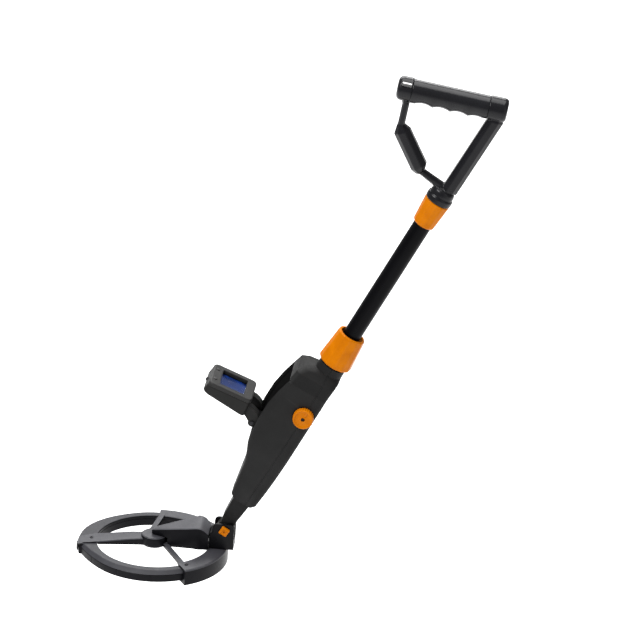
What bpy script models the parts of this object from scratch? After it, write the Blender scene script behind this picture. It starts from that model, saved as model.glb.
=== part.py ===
"""Youth metal detector: loop handle, telescopic stem, control housing with a folding screen, search coil.

Lengths are in millimetres and are turned into metres where a mesh or an empty is made.  The origin is the
middle of the hand grip, +X points from the coil towards the user and +Z is up.

Four frames are used:
- floor: under the centre of the coil ring, level with the sole of the coil
- stem: on the tube's axis; a point is (s, n, y), s along the tube and n towards its front
- pod: on the screen's hinge axis; a point is (p, q, y), p along the screen and q towards its face
- grip: on the hand grip's axis; z runs from the front end to the rear end and +x is the finger side
"""

import math

import bmesh
import bpy
from mathutils import Vector

MM = 0.001
GAP = 0.35

# Stem line
STEM_FOOT = (92.8, 44.3)
STEM_ANGLE = 63.2
TUBE_R = 11.4
TUBE_WALL = 1.2
TUBE_LOW = 235.0
TUBE_HIGH = 540.0

# Coil
RING_INNER_R = 72.4
RING_OUTER_R = 87.7
RING_FLAT_R = 82.2
RING_LOW = 3.0
RING_SPLIT = 14.0
RING_HIGH = 18.4
RING_WALL = 2.5
RING_SEGMENTS = 40
COVER_R = 94.0
COVER_INNER_R = 70.6
COVER_HIGH = 20.8
COVER_FROM = -58.0
COVER_TO = 93.0
HUB_R = 16.5
HUB_LOW = 15.5
HUB_HIGH = 28.9
PIVOT = (89.5, 47.3)
EYE_R = 11.0
EYE_HALF = 7.0
YOKE_HALF = 12.0
CHEEK_INNER = 8.6
BOLT_R = 2.2
BOLT_HOLE_R = 2.6

# Housing: s, front n, back n, half width, corner radius
HOUSING_STATIONS = (
    (46.3, 17.0, -8.8, 13.0, 4.0),
    (52.0, 22.6, -12.3, 16.2, 4.5),
    (77.0, 26.8, -13.8, 20.5, 5.0),
    (97.0, 30.0, -14.3, 24.5, 5.0),
    (108.0, 32.6, -14.3, 27.0, 5.0),
    (121.0, 37.4, -14.3, 30.0, 5.5),
    (131.0, 41.7, -14.3, 32.5, 6.0),
    (147.0, 45.4, -14.3, 33.2, 6.0),
    (170.0, 47.6, -14.3, 33.2, 6.0),
    (193.0, 47.4, -14.3, 33.2, 6.0),
    (213.0, 44.4, -14.3, 33.2, 6.0),
    (231.0, 40.0, -14.3, 33.2, 6.0),
    (247.0, 36.7, -16.0, 28.4, 7.0),
    (253.0, 31.7, -17.2, 22.5, 9.0),
    (257.5, 18.2, -17.2, 17.7, 16.2),
    (267.8, 17.2, -17.2, 17.2, 16.5),
)
SHELL_WALL = 2.5
SEAM_GAP = 0.15

# Screen recess and tray
RECESS_LOW = 147.0
RECESS_HIGH = 234.5
RECESS_HALF = 30.2
TRAY_HALF = 29.8
TRAY_FLOOR = 17.6
TRAY_SHEET = 1.9

# Screen pod
HINGE_S = 155.0
HINGE_N = 49.3
POD_LEAN = 5.3
BARREL_R = 5.5
PIN_R = 1.5
POD_HALF = 29.6
POD_NEAR = 12.5
POD_FACE_END = 69.0
POD_FAR = 72.8
POD_FACE = 29.5
POD_SPLIT = 24.0
POD_BACK_NEAR = 3.4
POD_BACK_RISE = 9.0
LUG_HALF = 10.0
LEG_MIDDLE = 17.2
LEG_HALF = 6.6
PIN_CLEARANCE = 0.3
WINDOW_NEAR = 24.0
WINDOW_FAR = 57.0
WINDOW_HALF = 20.0
BUTTON_P = 64.2
BUTTON_SPACING = 28.0
POWER_AT = (-72.0, 0.0, 17.9)
POWER_TURN = -78.0

# Control knob
KNOB_S = 200.0
KNOB_R = 13.0
KNOB_RECESS_R = 14.2
KNOB_RECESS_Y = 32.1
KNOB_FLUTES = 20

# Battery, on the centre plane of the tail
BATTERY_LOW = 59.6
BATTERY_SIZE = (48.5, 26.5, 17.5)
BATTERY_BACK = -7.5
DOOR_LOW = 55.0
DOOR_HIGH = 96.5
DOOR_HALF = 11.2
DOOR_SHEET = 2.2

# Collars
LOWER_COLLAR = (270.6, 315.0)
LOWER_BORE_STEP = 290.0
UPPER_COLLAR = (489.0, 524.4)
UPPER_BORE_STEP = 503.2
COLLAR_FACETS = 12
COLLET_INNER_R = 11.85

# Handle: grip axis from its front end, and the loop's stations s, n, half depth, half width
GRIP_FRONT = (625.6, 116.8)
GRIP_TURN = 71.38
GRIP_LENGTH = 137.0
GRIP_R = 14.0
BLOCK_R = 15.0
FRONT_BLOCK = 19.5
REAR_BLOCK = 22.5
CORE_R = 8.0
FINGER_PITCH = 21.8
FINGER_DEPTH = 1.9
FINGER_BULGE = (1.6, 1.2)
BULGE_FADE = 6.0
HUB_FACE = 524.8
SOCKET_R = 11.9
SOCKET_END = 541.5
LOOP_STATIONS = (
    (544.0, -4.9, 9.8, 11.0),
    (600.0, -5.7, 9.8, 11.0),
    (652.0, -6.4, 9.8, 11.0),
    (664.6, -1.2, CORE_R, CORE_R),
    (661.5, 9.9, CORE_R, CORE_R),
    (630.7, 101.6, CORE_R, CORE_R),
    (628.2, 109.6, 4.5, 6.5),
    (613.7, 96.4, 4.6, 6.6),
    (588.0, 88.0, 4.6, 6.6),
    (580.5, 82.4, 10.1, 10.4),
    (551.5, 42.2, 10.1, 10.4),
    (546.0, 34.9, 4.4, 6.4),
    (539.5, 5.0, 4.6, 6.6),
)


# ---------------------------------------------------------------- helpers

def clear_scene():
    for old in list(bpy.data.objects):
        bpy.data.objects.remove(old, do_unlink=True)


def material(name, colour, roughness, metallic=0.0):
    existing = bpy.data.materials.get(name)
    if existing:
        return existing
    made = bpy.data.materials.new(name)
    made.use_nodes = True
    shader = made.node_tree.nodes["Principled BSDF"]
    shader.inputs["Base Color"].default_value = (*colour, 1.0)
    shader.inputs["Roughness"].default_value = roughness
    shader.inputs["Metallic"].default_value = metallic
    made.diffuse_color = (*colour, 1.0)
    return made


def black_plastic():
    return material("black_plastic", (0.022, 0.022, 0.026), 0.45)


def grip_plastic():
    return material("grip_plastic", (0.030, 0.030, 0.034), 0.55)


def housing_plastic():
    return material("housing_plastic", (0.028, 0.028, 0.028), 0.6)


def coil_plastic():
    return material("coil_plastic", (0.055, 0.055, 0.062), 0.6)


def pod_plastic():
    return material("pod_plastic", (0.070, 0.070, 0.068), 0.55)


def orange_plastic():
    return material("orange_plastic", (0.85, 0.22, 0.004), 0.3)


def anodised_tube():
    return material("anodised_tube", (0.006, 0.006, 0.009), 0.35, 0.6)


def nylon():
    return material("nylon", (0.60, 0.60, 0.56), 0.5)


def steel():
    return material("steel", (0.45, 0.45, 0.47), 0.3, 1.0)


def copper():
    return material("copper", (0.55, 0.20, 0.06), 0.35, 1.0)


def board_green():
    return material("board_green", (0.02, 0.16, 0.05), 0.5)


def lcd_blue():
    return material("lcd_blue", (0.03, 0.06, 0.24), 0.2)


def clear_plastic():
    return material("clear_plastic", (0.35, 0.45, 0.75), 0.05)


def rubber():
    return material("rubber", (0.012, 0.012, 0.012), 0.8)


def lead_jacket():
    return material("lead_jacket", (0.015, 0.015, 0.015), 0.6)


def battery_skin():
    return material("battery_skin", (0.10, 0.10, 0.12), 0.35, 0.4)


def frame_empty(name, parent, location, turn_y=0.0):
    """An empty placed in millimetres in its parent's frame and turned about Y, in degrees."""
    made = bpy.data.objects.new(name, None)
    bpy.context.scene.collection.objects.link(made)
    made.parent = parent
    made.location = Vector(location) * MM
    made.rotation_euler = (0.0, math.radians(turn_y), 0.0)
    return made


def place(name, bm, surface, parent, location=(0, 0, 0), rotation=(0, 0, 0), smooth=40.0):
    """Make an object of a mesh in millimetres; location in millimetres and rotation in degrees."""
    bmesh.ops.recalc_face_normals(bm, faces=bm.faces[:])
    bmesh.ops.scale(bm, vec=(MM, MM, MM), verts=bm.verts[:])
    mesh = bpy.data.meshes.new(name)
    bm.to_mesh(mesh)
    bm.free()
    mesh.shade_smooth()
    mesh.set_sharp_from_angle(angle=math.radians(smooth))
    if surface:
        mesh.materials.append(surface)
    made = bpy.data.objects.new(name, mesh)
    bpy.context.scene.collection.objects.link(made)
    made.parent = parent
    made.location = Vector(location) * MM
    made.rotation_euler = [math.radians(angle) for angle in rotation]
    return made


def shape_with(target, bm, operation, parent, location=(0, 0, 0), rotation=(0, 0, 0)):
    """Join a mesh to an object, or cut it away, with a hidden tool object and a Boolean modifier."""
    number = len(target.modifiers) + 1
    tool = place(f"{target.name}_tool_{number}", bm, None, parent, location, rotation)
    tool.hide_render = True
    tool.display_type = "WIRE"
    step = target.modifiers.new(f"shape_{number}", "BOOLEAN")
    step.operation = operation
    step.solver = "EXACT"
    step.object = tool
    return target


def loft(rings):
    """A closed body through rings of equal point counts, capped at both ends."""
    bm = bmesh.new()
    rows = [[bm.verts.new(point) for point in ring] for ring in rings]
    count = len(rows[0])
    for low, high in zip(rows, rows[1:]):
        for i in range(count):
            j = (i + 1) % count
            bm.faces.new((low[i], low[j], high[j], high[i]))
    bm.faces.new(rows[0])
    bm.faces.new(rows[-1])
    return bm


def turned(profile, segments, start=0.0, sweep=360.0):
    """Turn a closed profile of (radius, z) about Z; a part turn is capped at its ends."""
    full = sweep >= 360.0
    stations = segments if full else segments + 1
    bm = bmesh.new()
    axis_points = {}
    rows = []
    for k in range(stations):
        angle = math.radians(start + sweep * k / segments)
        row = []
        for i, (radius, z) in enumerate(profile):
            if radius > 0.0:
                row.append(bm.verts.new((radius * math.cos(angle), radius * math.sin(angle), z)))
                continue
            if i not in axis_points:
                axis_points[i] = bm.verts.new((0.0, 0.0, z))
            row.append(axis_points[i])
        rows.append(row)
    count = len(profile)
    pairs = [(k, (k + 1) % stations) for k in range(segments)]
    for k, m in pairs:
        for i in range(count):
            j = (i + 1) % count
            corners = [rows[k][i], rows[m][i], rows[m][j], rows[k][j]]
            unique = list(dict.fromkeys(corners))
            if len(unique) > 2:
                bm.faces.new(unique)
    if not full:
        bm.faces.new(rows[0])
        bm.faces.new(rows[-1])
    return bm


def disc(radius, low, high, segments=24, edge=0.0):
    """A solid round bar along Z, with its top edge bevelled by edge."""
    levels = [(radius, low), (radius, high - edge)]
    if edge:
        levels.append((radius - edge, high))
    angles = [2.0 * math.pi * k / segments for k in range(segments)]
    return loft([[(r * math.cos(a), r * math.sin(a), z) for a in angles] for r, z in levels])


def ring_body(inner, outer, low, high, segments=24):
    return turned([(inner, low), (outer, low), (outer, high), (inner, high)], segments)


def prism_y(outline, half, middle=0.0):
    """Extrude an outline of (x, z) points along Y."""
    low = [Vector((x, middle - half, z)) for x, z in outline]
    high = [Vector((x, middle + half, z)) for x, z in outline]
    return loft([low, high])


def block(x_range, y_range, z_range, edge=0.0):
    """A box between the given limits, with all edges bevelled by edge."""
    bm = bmesh.new()
    bmesh.ops.create_cube(bm, size=1.0)
    for vert in bm.verts:
        vert.co.x = x_range[0] if vert.co.x < 0 else x_range[1]
        vert.co.y = y_range[0] if vert.co.y < 0 else y_range[1]
        vert.co.z = z_range[0] if vert.co.z < 0 else z_range[1]
    if edge:
        bmesh.ops.bevel(bm, geom=bm.edges[:], offset=edge, segments=1, affect="EDGES")
    return bm


def arc(centre, radius, start, end, steps):
    """Points on an arc in a plane, from start to end degrees."""
    points = []
    for k in range(steps + 1):
        angle = math.radians(start + (end - start) * k / steps)
        points.append((centre[0] + radius * math.cos(angle), centre[1] + radius * math.sin(angle)))
    return points


def rounded_rectangle(low, high, half, radius, steps=3):
    """A rounded rectangle: first axis from low to high, second axis from -half to half."""
    points = arc((high - radius, half - radius), radius, 0, 90, steps)
    points += arc((low + radius, half - radius), radius, 90, 180, steps)
    points += arc((low + radius, -half + radius), radius, 180, 270, steps)
    points += arc((high - radius, -half + radius), radius, 270, 360, steps)
    return points


def stem_xyz(s, n, y=0.0):
    """Stem-frame coordinates of a point given along the tube, towards its front and sideways."""
    return Vector((-n, y, s))


def stem_to_floor(s, n):
    angle = math.radians(STEM_ANGLE)
    x = STEM_FOOT[0] + s * math.cos(angle) - n * math.sin(angle)
    z = STEM_FOOT[1] + s * math.sin(angle) + n * math.cos(angle)
    return x, z


def floor_to_stem(x, z):
    angle = math.radians(STEM_ANGLE)
    dx = x - STEM_FOOT[0]
    dz = z - STEM_FOOT[1]
    return dx * math.cos(angle) + dz * math.sin(angle), -dx * math.sin(angle) + dz * math.cos(angle)


def grip_to_stem(distance):
    """The s and n of a point on the grip's axis, counted from its front end."""
    angle = math.radians(GRIP_TURN)
    return GRIP_FRONT[0] + distance * math.cos(angle), GRIP_FRONT[1] - distance * math.sin(angle)


# ---------------------------------------------------------------- handle

def octagon(centre, across, half_depth, half_width):
    """Eight points around a centre: across is the in-plane normal, the other direction is Y."""
    cut = 0.42
    pattern = ((1, cut), (cut, 1), (-cut, 1), (-1, cut), (-1, -cut), (-cut, -1), (cut, -1), (1, -cut))
    side = Vector((0.0, 1.0, 0.0))
    return [centre + across * (a * half_depth) + side * (b * half_width) for a, b in pattern]


def loop_body():
    """The bent bar of the handle, from the rear post over the grip's core to the lower strut."""
    centres = [stem_xyz(s, n) for s, n, _, _ in LOOP_STATIONS]
    rings = []
    for i, (_, _, half_depth, half_width) in enumerate(LOOP_STATIONS):
        before = centres[i] - centres[max(i - 1, 0)]
        after = centres[min(i + 1, len(centres) - 1)] - centres[i]
        before = before.normalized() if before.length else after.normalized()
        after = after.normalized() if after.length else before
        along = (before + after).normalized()
        across = Vector((-along.z, 0.0, along.x))
        mitre = 1.0 / max(along.dot(before), 0.75)
        rings.append(octagon(centres[i], across, half_depth * mitre, half_width))
    return loft(rings)


def make_handle_frame(stem, grip):
    frame = place("handle_frame", loop_body(), black_plastic(), stem)
    hub = [(0.0, HUB_FACE), (16.8, HUB_FACE), (16.8, 532.0), (15.1, 533.6)]
    hub += [(15.1, 541.0), (12.5, 547.5), (7.0, 551.5), (0.0, 552.5)]
    shape_with(frame, turned(hub, 20), "UNION", stem)
    front = [(0.0, 1.2), (10.8, 1.2), (BLOCK_R, 5.2), (BLOCK_R, FRONT_BLOCK), (0.0, FRONT_BLOCK)]
    shape_with(frame, turned(front, 20), "UNION", grip)
    rear_low = GRIP_LENGTH - REAR_BLOCK
    rear = [(0.0, rear_low), (BLOCK_R, rear_low), (BLOCK_R, GRIP_LENGTH - 3.2)]
    rear += [(11.5, GRIP_LENGTH), (0.0, GRIP_LENGTH)]
    shape_with(frame, turned(rear, 20), "UNION", grip)
    shape_with(frame, disc(SOCKET_R, HUB_FACE - 5.0, SOCKET_END, 24), "DIFFERENCE", stem)
    slot = block((-12.1, -6.9), (-20.0, 20.0), (6.4, 18.0))
    shape_with(frame, slot, "DIFFERENCE", grip)
    return frame


def grip_radius(distance, angle):
    """Radius of the grip sleeve: four finger grooves are sunk into its +X side."""
    first = FRONT_BLOCK + 6.0
    turns = (distance - first) / FINGER_PITCH
    inside = 0.0 <= turns <= 4.0
    groove = 0.5 - 0.5 * math.cos(2.0 * math.pi * turns) if inside else 0.0
    bulge = FINGER_BULGE[0] + FINGER_BULGE[1] * distance / GRIP_LENGTH
    to_post = GRIP_LENGTH - REAR_BLOCK - GAP - distance
    bulge *= min(1.0, max(0.0, to_post / BULGE_FADE))
    return GRIP_R + (bulge - FINGER_DEPTH * groove) * max(math.cos(angle), 0.0) ** 1.5


def make_hand_grip(grip):
    low = FRONT_BLOCK + GAP
    high = GRIP_LENGTH - REAR_BLOCK - GAP
    points = 16
    rows = 24
    outer = []
    for k in range(rows + 1):
        distance = low + (high - low) * k / rows
        ring = []
        for i in range(points):
            angle = 2.0 * math.pi * i / points
            radius = grip_radius(distance, angle)
            ring.append((radius * math.cos(angle), radius * math.sin(angle), distance))
        outer.append(ring)
    hole = CORE_R * 1.13 + GAP
    inner = []
    for distance in (high, low):
        angles = [2.0 * math.pi * i / points for i in range(points)]
        inner.append([(hole * math.cos(a), hole * math.sin(a), distance) for a in angles])
    bm = bmesh.new()
    table = [[bm.verts.new(point) for point in ring] for ring in outer + inner]
    for row, next_row in zip(table, table[1:] + table[:1]):
        for i in range(points):
            j = (i + 1) % points
            bm.faces.new((row[i], row[j], next_row[j], next_row[i]))
    return place("hand_grip", bm, grip_plastic(), grip)


# ---------------------------------------------------------------- stem and collars

def collar_profile(low, high, r_low, r_high, bore_low, bore_high, step):
    """Outer wall with rounded shoulders; the bore changes from bore_low to bore_high at z = step."""
    edge = 1.2
    return [
        (r_low - edge, low), (r_low, low + edge * 1.5), (r_high, high - edge), (r_high - edge, high),
        (bore_high, high), (bore_high, step), (bore_low, step), (bore_low, low),
    ]


def make_collars(stem):
    low, high = UPPER_COLLAR
    upper = collar_profile(low, high, 14.4, 16.8, 12.2, 14.2, UPPER_BORE_STEP)
    place("upper_collar", turned(upper, COLLAR_FACETS), orange_plastic(), stem, smooth=20.0)
    low, high = LOWER_COLLAR
    lower = collar_profile(low, high, 22.0, 18.4, 17.4, 14.7, LOWER_BORE_STEP)
    place("lower_collar", turned(lower, COLLAR_FACETS), orange_plastic(), stem, smooth=20.0)


def make_collets(stem):
    """Clamp rings that the collars squeeze on the tube, each split by one slot."""
    gap_angle = 14.0
    for name, outer, low, high in (
        ("upper_collet", 13.4, 503.6, 520.9),
        ("lower_collet", 13.8, 288.0, 306.5),
    ):
        profile = [(COLLET_INNER_R, low), (outer, low), (outer, high), (COLLET_INNER_R, high)]
        bm = turned(profile, 22, gap_angle / 2, 360.0 - gap_angle)
        place(name, bm, nylon(), stem)


def make_stem_tube(stem):
    tube = ring_body(TUBE_R - TUBE_WALL, TUBE_R, TUBE_LOW, TUBE_HIGH)
    place("stem_tube", tube, anodised_tube(), stem)
    bore = TUBE_R - TUBE_WALL - GAP
    plug = [(0.0, TUBE_LOW - 3.5), (TUBE_R - 1.2, TUBE_LOW - 3.5), (TUBE_R, TUBE_LOW - 2.5)]
    plug += [(TUBE_R, TUBE_LOW - GAP), (bore, TUBE_LOW - GAP), (bore, TUBE_LOW + 12.0), (0.0, TUBE_LOW + 12.0)]
    place("tube_end_plug", turned(plug, 24), rubber(), stem)


def make_threaded_neck(stem):
    neck = [(12.3, 254.0), (14.2, 254.0), (14.2, 268.0), (16.3, 268.4), (16.3, 287.0), (12.3, 287.0)]
    place("threaded_neck", turned(neck, 24), nylon(), stem)


# ---------------------------------------------------------------- housing

def shell_outline(depth, half, radius):
    """Half of the housing's cross-section as (n, y) points, from one seam edge round to the other."""
    radius = min(radius, half - 0.2, depth - SEAM_GAP - 0.2)
    points = [(SEAM_GAP, -half)]
    points += [(n, y) for n, y in arc((depth - radius, -half + radius), radius, -90, 0, 3)]
    points += [(n, y) for n, y in arc((depth - radius, half - radius), radius, 0, 90, 3)]
    points.append((SEAM_GAP, half))
    return points


def shell_body(side):
    """One casing half: side is 1 for the front and -1 for the back."""
    column = 1 if side > 0 else 2
    depths = [abs(station[column]) for station in HOUSING_STATIONS]
    rings = []
    last = len(HOUSING_STATIONS) - 1
    for i, station in enumerate(HOUSING_STATIONS):
        before = max(i - 1, 0)
        after = min(i + 1, last)
        run = HOUSING_STATIONS[after][0] - HOUSING_STATIONS[before][0]
        slope = math.atan2(depths[after] - depths[before], run)
        thin = SHELL_WALL * math.cos(slope)
        inner_s = station[0] + SHELL_WALL * math.sin(slope)
        outer = shell_outline(depths[i], station[3], station[4])
        inner = shell_outline(depths[i] - thin, station[3] - thin, max(station[4] - thin, 1.0))
        ring = [stem_xyz(station[0], side * n, y) for n, y in outer]
        ring += [stem_xyz(inner_s, side * n, y) for n, y in reversed(inner)]
        rings.append(ring)
    return loft(rings)


def front_slope():
    """Tilt of the tail's front face against the tube, in degrees."""
    low = HOUSING_STATIONS[1]
    high = HOUSING_STATIONS[3]
    return math.degrees(math.atan2(high[1] - low[1], high[0] - low[0]))


def make_shells(stem, door):
    front = place("front_shell", shell_body(1), housing_plastic(), stem)
    deep = -TRAY_FLOOR + TRAY_SHEET + GAP
    recess = block((-60.0, deep), (-RECESS_HALF, RECESS_HALF), (RECESS_LOW, RECESS_HIGH))
    shape_with(front, recess, "DIFFERENCE", stem)
    length = DOOR_HIGH - DOOR_LOW
    opening = block((-3.0, 6.0), (-DOOR_HALF - GAP, DOOR_HALF + GAP), (-GAP, length + GAP))
    shape_with(front, opening, "DIFFERENCE", door)
    back = place("back_shell", shell_body(-1), housing_plastic(), stem)
    for shell in (front, back):
        around_y = (90.0, 0.0, 0.0)
        at_knob = (0.0, 0.0, KNOB_S)
        shape_with(shell, disc(3.6, 25.0, 40.0, 20), "DIFFERENCE", stem, at_knob, around_y)
        shape_with(shell, disc(KNOB_RECESS_R, KNOB_RECESS_Y, 40.0, 32), "DIFFERENCE", stem, at_knob, around_y)


def make_battery_door(door):
    length = DOOR_HIGH - DOOR_LOW
    plate = block((0.0, DOOR_SHEET), (-DOOR_HALF, DOOR_HALF), (0.0, length), 0.4)
    place("battery_door", plate, housing_plastic(), door)


def make_screen_tray(stem):
    """U-shaped tray: floor, two end walls and the lug that carries the screen's hinge pin."""
    low = RECESS_LOW + 0.4
    high = RECESS_HIGH - 0.4
    sheet = TRAY_SHEET
    outline = [
        (-TRAY_FLOOR + sheet, low), (-44.4, low), (-44.6, low + sheet), (-TRAY_FLOOR, low + sheet),
        (-TRAY_FLOOR, high - sheet), (-38.8, high - sheet), (-38.4, high), (-TRAY_FLOOR + sheet, high),
    ]
    tray = place("screen_tray", prism_y(outline, TRAY_HALF), black_plastic(), stem)
    lug = [(-TRAY_FLOOR + 1.0, HINGE_S - BARREL_R), (-TRAY_FLOOR + 1.0, HINGE_S + BARREL_R)]
    lug += arc((-HINGE_N, HINGE_S), BARREL_R, 90, 270, 8)
    shape_with(tray, prism_y(lug, LUG_HALF), "UNION", stem)
    hole = disc(PIN_R + PIN_CLEARANCE, -15.0, 15.0, 12)
    shape_with(tray, hole, "DIFFERENCE", stem, (-HINGE_N, 0.0, HINGE_S), (90.0, 0.0, 0.0))


def make_electronics(stem):
    board = block((-13.6, -12.0), (-25.5, 25.5), (125.0, 222.0))
    place("circuit_board", board, board_green(), stem)
    speaker = turned([(0.0, 0.0), (13.0, 0.0), (13.0, 2.0), (10.0, 5.5), (0.0, 5.5)], 20)
    place("speaker", speaker, black_plastic(), stem, (-19.0, 0.0, 133.0), (0.0, -90.0, 0.0))
    length, depth, width = BATTERY_SIZE
    low = BATTERY_LOW
    cell = block((-BATTERY_BACK - depth, -BATTERY_BACK), (-width / 2, width / 2), (low, low + length), 0.8)
    place("battery", cell, battery_skin(), stem)
    snap_low = low + length + GAP
    middle = -BATTERY_BACK - depth / 2
    snap = block((middle - 12.0, middle + 12.0), (-6.5, 6.5), (snap_low, snap_low + 4.0), 0.5)
    place("battery_snap", snap, black_plastic(), stem)


def make_knob(stem):
    """Potentiometer, its shaft, the fluted knob and its screw, all on one axis along Y."""
    at = (0.0, 0.0, KNOB_S)
    around_y = (90.0, 0.0, 0.0)
    pot = turned([(3.4, 21.7), (8.0, 21.7), (8.0, 30.3), (3.4, 30.3)], 20)
    place("potentiometer", pot, steel(), stem, at, around_y)
    place("knob_shaft", disc(3.0, 22.2, 37.2, 16), steel(), stem, at, around_y)
    profile = [(3.4, 32.5), (12.4, 32.5), (KNOB_R, 33.2), (KNOB_R, 39.8), (KNOB_R - 1.6, 41.4)]
    profile += [(2.6, 41.4), (2.6, 38.0), (3.4, 38.0)]
    bm = turned(profile, KNOB_FLUTES * 2)
    for vert in bm.verts:
        radius = math.hypot(vert.co.x, vert.co.y)
        step = round(math.atan2(vert.co.y, vert.co.x) / (math.pi / KNOB_FLUTES))
        if radius > 12.9 and step % 2:
            vert.co.x *= 0.955
            vert.co.y *= 0.955
    place("control_knob", bm, orange_plastic(), stem, at, around_y, 25.0)
    place("knob_screw", disc(2.2, 38.4, 40.6, 12, 0.4), steel(), stem, at, around_y)


def make_lower_stem(stem):
    """Arm with the pivot eye; its tongue enters the housing's tail."""
    eye_s, eye_n = floor_to_stem(*PIVOT)
    sections = (
        (4.0, -4.2, 12.8, 6.9), (18.0, -3.6, 15.6, 7.2),
        (26.0, -4.2, 16.1, 9.4), (45.9, -6.0, 17.0, 11.0),
    )
    rings = []
    for s, back, front, half in sections:
        outline = rounded_rectangle(back, front, half, 2.6, 2)
        rings.append([stem_xyz(s, n, y) for n, y in outline])
    arm = place("lower_stem", loft(rings), housing_plastic(), stem)
    at_eye = (-eye_n, 0.0, eye_s)
    around_y = (90.0, 0.0, 0.0)
    shape_with(arm, disc(EYE_R, -EYE_HALF, EYE_HALF, 32), "UNION", stem, at_eye, around_y)
    shape_with(arm, block((-13.8, 5.0), (-8.0, 8.0), (44.0, 52.3)), "UNION", stem)
    shape_with(arm, disc(BOLT_HOLE_R, -20.0, 20.0, 16), "DIFFERENCE", stem, at_eye, around_y)
    shape_with(arm, disc(3.0, 15.0, 60.0, 12), "DIFFERENCE", stem, (-eye_n, 0.0, 0.0))
    for name, side in (("pivot_washer_near", -1), ("pivot_washer_far", 1)):
        low = min(side * 7.3, side * 8.3)
        washer = ring_body(BOLT_HOLE_R, 8.0, low, low + 1.0, 20)
        place(name, washer, rubber(), stem, at_eye, (-90.0, 0.0, 0.0))


def make_coil_lead(stem):
    """Round lead from the arm's bore past the battery to the circuit board."""
    eye_n = floor_to_stem(*PIVOT)[1]
    route = [
        (17.0, eye_n, 0.0), (30.0, eye_n, 0.0), (44.0, eye_n, 0.0), (53.0, eye_n, 0.3),
        (55.6, eye_n, 2.6), (56.4, eye_n, 6.0), (57.6, eye_n, 9.4), (61.0, eye_n, 11.8), (68.0, 4.0, 12.4),
        (90.0, 4.0, 12.8), (110.0, 6.0, 13.6), (119.0, 10.0, 14.8), (123.0, 12.8, 15.2),
    ]
    curve = bpy.data.curves.new("coil_lead", "CURVE")
    curve.dimensions = "3D"
    curve.bevel_depth = 1.6 * MM
    curve.bevel_resolution = 2
    curve.use_fill_caps = True
    spline = curve.splines.new("POLY")
    spline.points.add(len(route) - 1)
    for point, (s, n, y) in zip(spline.points, route):
        point.co = (*(stem_xyz(s, n, y) * MM), 1.0)
    curve.materials.append(lead_jacket())
    made = bpy.data.objects.new("coil_lead", curve)
    bpy.context.scene.collection.objects.link(made)
    made.parent = stem


def make_shell_screws(stem):
    """Four pan-head screws sunk in the back of the housing."""
    number = 0
    for s, y in ((112.0, 15.0), (112.0, -15.0), (215.0, 20.0), (215.0, -20.0)):
        number += 1
        screw = turned([(0.0, 14.6), (2.6, 14.6), (2.6, 15.6), (1.8, 16.3), (0.0, 16.3)], 12)
        place(f"shell_screw_{number}", screw, steel(), stem, (0.0, y, s), (0.0, 90.0, 0.0))


# ---------------------------------------------------------------- screen

def pod_xyz(p, q, y):
    return Vector((-p, y, q))


def pod_back_q(p):
    """Height of the pod's back over the hinge axis: it slopes towards the outer end."""
    return POD_BACK_NEAR + POD_BACK_RISE * (p - POD_NEAR) / (POD_FAR - POD_NEAR)


def pod_ring(inset, radius, height, far=POD_FAR):
    """A rounded-rectangle ring of the pod; height gives q for each p."""
    outline = rounded_rectangle(POD_NEAR + inset, far - inset, POD_HALF - inset, radius)
    return [pod_xyz(p, height(p), y) for p, y in outline]


def make_pod_back(pod):
    wall = 2.0
    far_split = POD_FAR - 1.8
    rings = [
        pod_ring(3.0, 5.0, pod_back_q, POD_FAR - 1.0),
        pod_ring(0.0, 6.5, lambda p: pod_back_q(p) + 3.0),
        pod_ring(0.0, 6.5, lambda p: POD_SPLIT, far_split),
        pod_ring(wall, 4.5, lambda p: POD_SPLIT, far_split),
        pod_ring(wall + 0.5, 4.5, lambda p: pod_back_q(p) + 3.6, POD_FAR - 1.0),
    ]
    tub = place("pod_back", loft(rings), pod_plastic(), pod)
    leg = [(BARREL_R, 5.0), (2.0, 10.4), (-6.0, 11.6), (-POD_NEAR - 1.4, 12.4), (-POD_NEAR - 1.4, 6.4)]
    outline = leg + arc((0.0, 0.0), BARREL_R, 180, 360, 8)
    for side in (-1, 1):
        shape_with(tub, prism_y(outline, LEG_HALF, side * LEG_MIDDLE), "UNION", pod)
    shape_with(tub, disc(PIN_R + PIN_CLEARANCE, -30.0, 30.0, 12), "DIFFERENCE", pod, (0, 0, 0), (90.0, 0.0, 0.0))
    shape_with(tub, disc(2.6, -5.0, 5.0, 16), "DIFFERENCE", pod, POWER_AT, (0.0, POWER_TURN, 0.0))


def make_pod_bezel(pod):
    """Face frame with the window, the button holes and the chamfered outer end."""
    low = POD_SPLIT + GAP
    rings = [
        pod_ring(0.0, 6.5, lambda p: low, POD_FAR - 1.9),
        pod_ring(0.0, 6.5, lambda p: POD_FACE - 1.2, POD_FACE_END + 1.4),
        pod_ring(1.2, 5.4, lambda p: POD_FACE, POD_FACE_END + 0.6),
    ]
    bezel = place("pod_bezel", loft(rings), pod_plastic(), pod)
    window = block((-WINDOW_FAR, -WINDOW_NEAR), (-WINDOW_HALF, WINDOW_HALF), (0.0, 40.0))
    shape_with(bezel, window, "DIFFERENCE", pod)
    for side in (-1, 1):
        hole = disc(2.9, 10.0, 40.0, 16)
        shape_with(bezel, hole, "DIFFERENCE", pod, (-BUTTON_P, side * BUTTON_SPACING / 2, 0.0))


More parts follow.
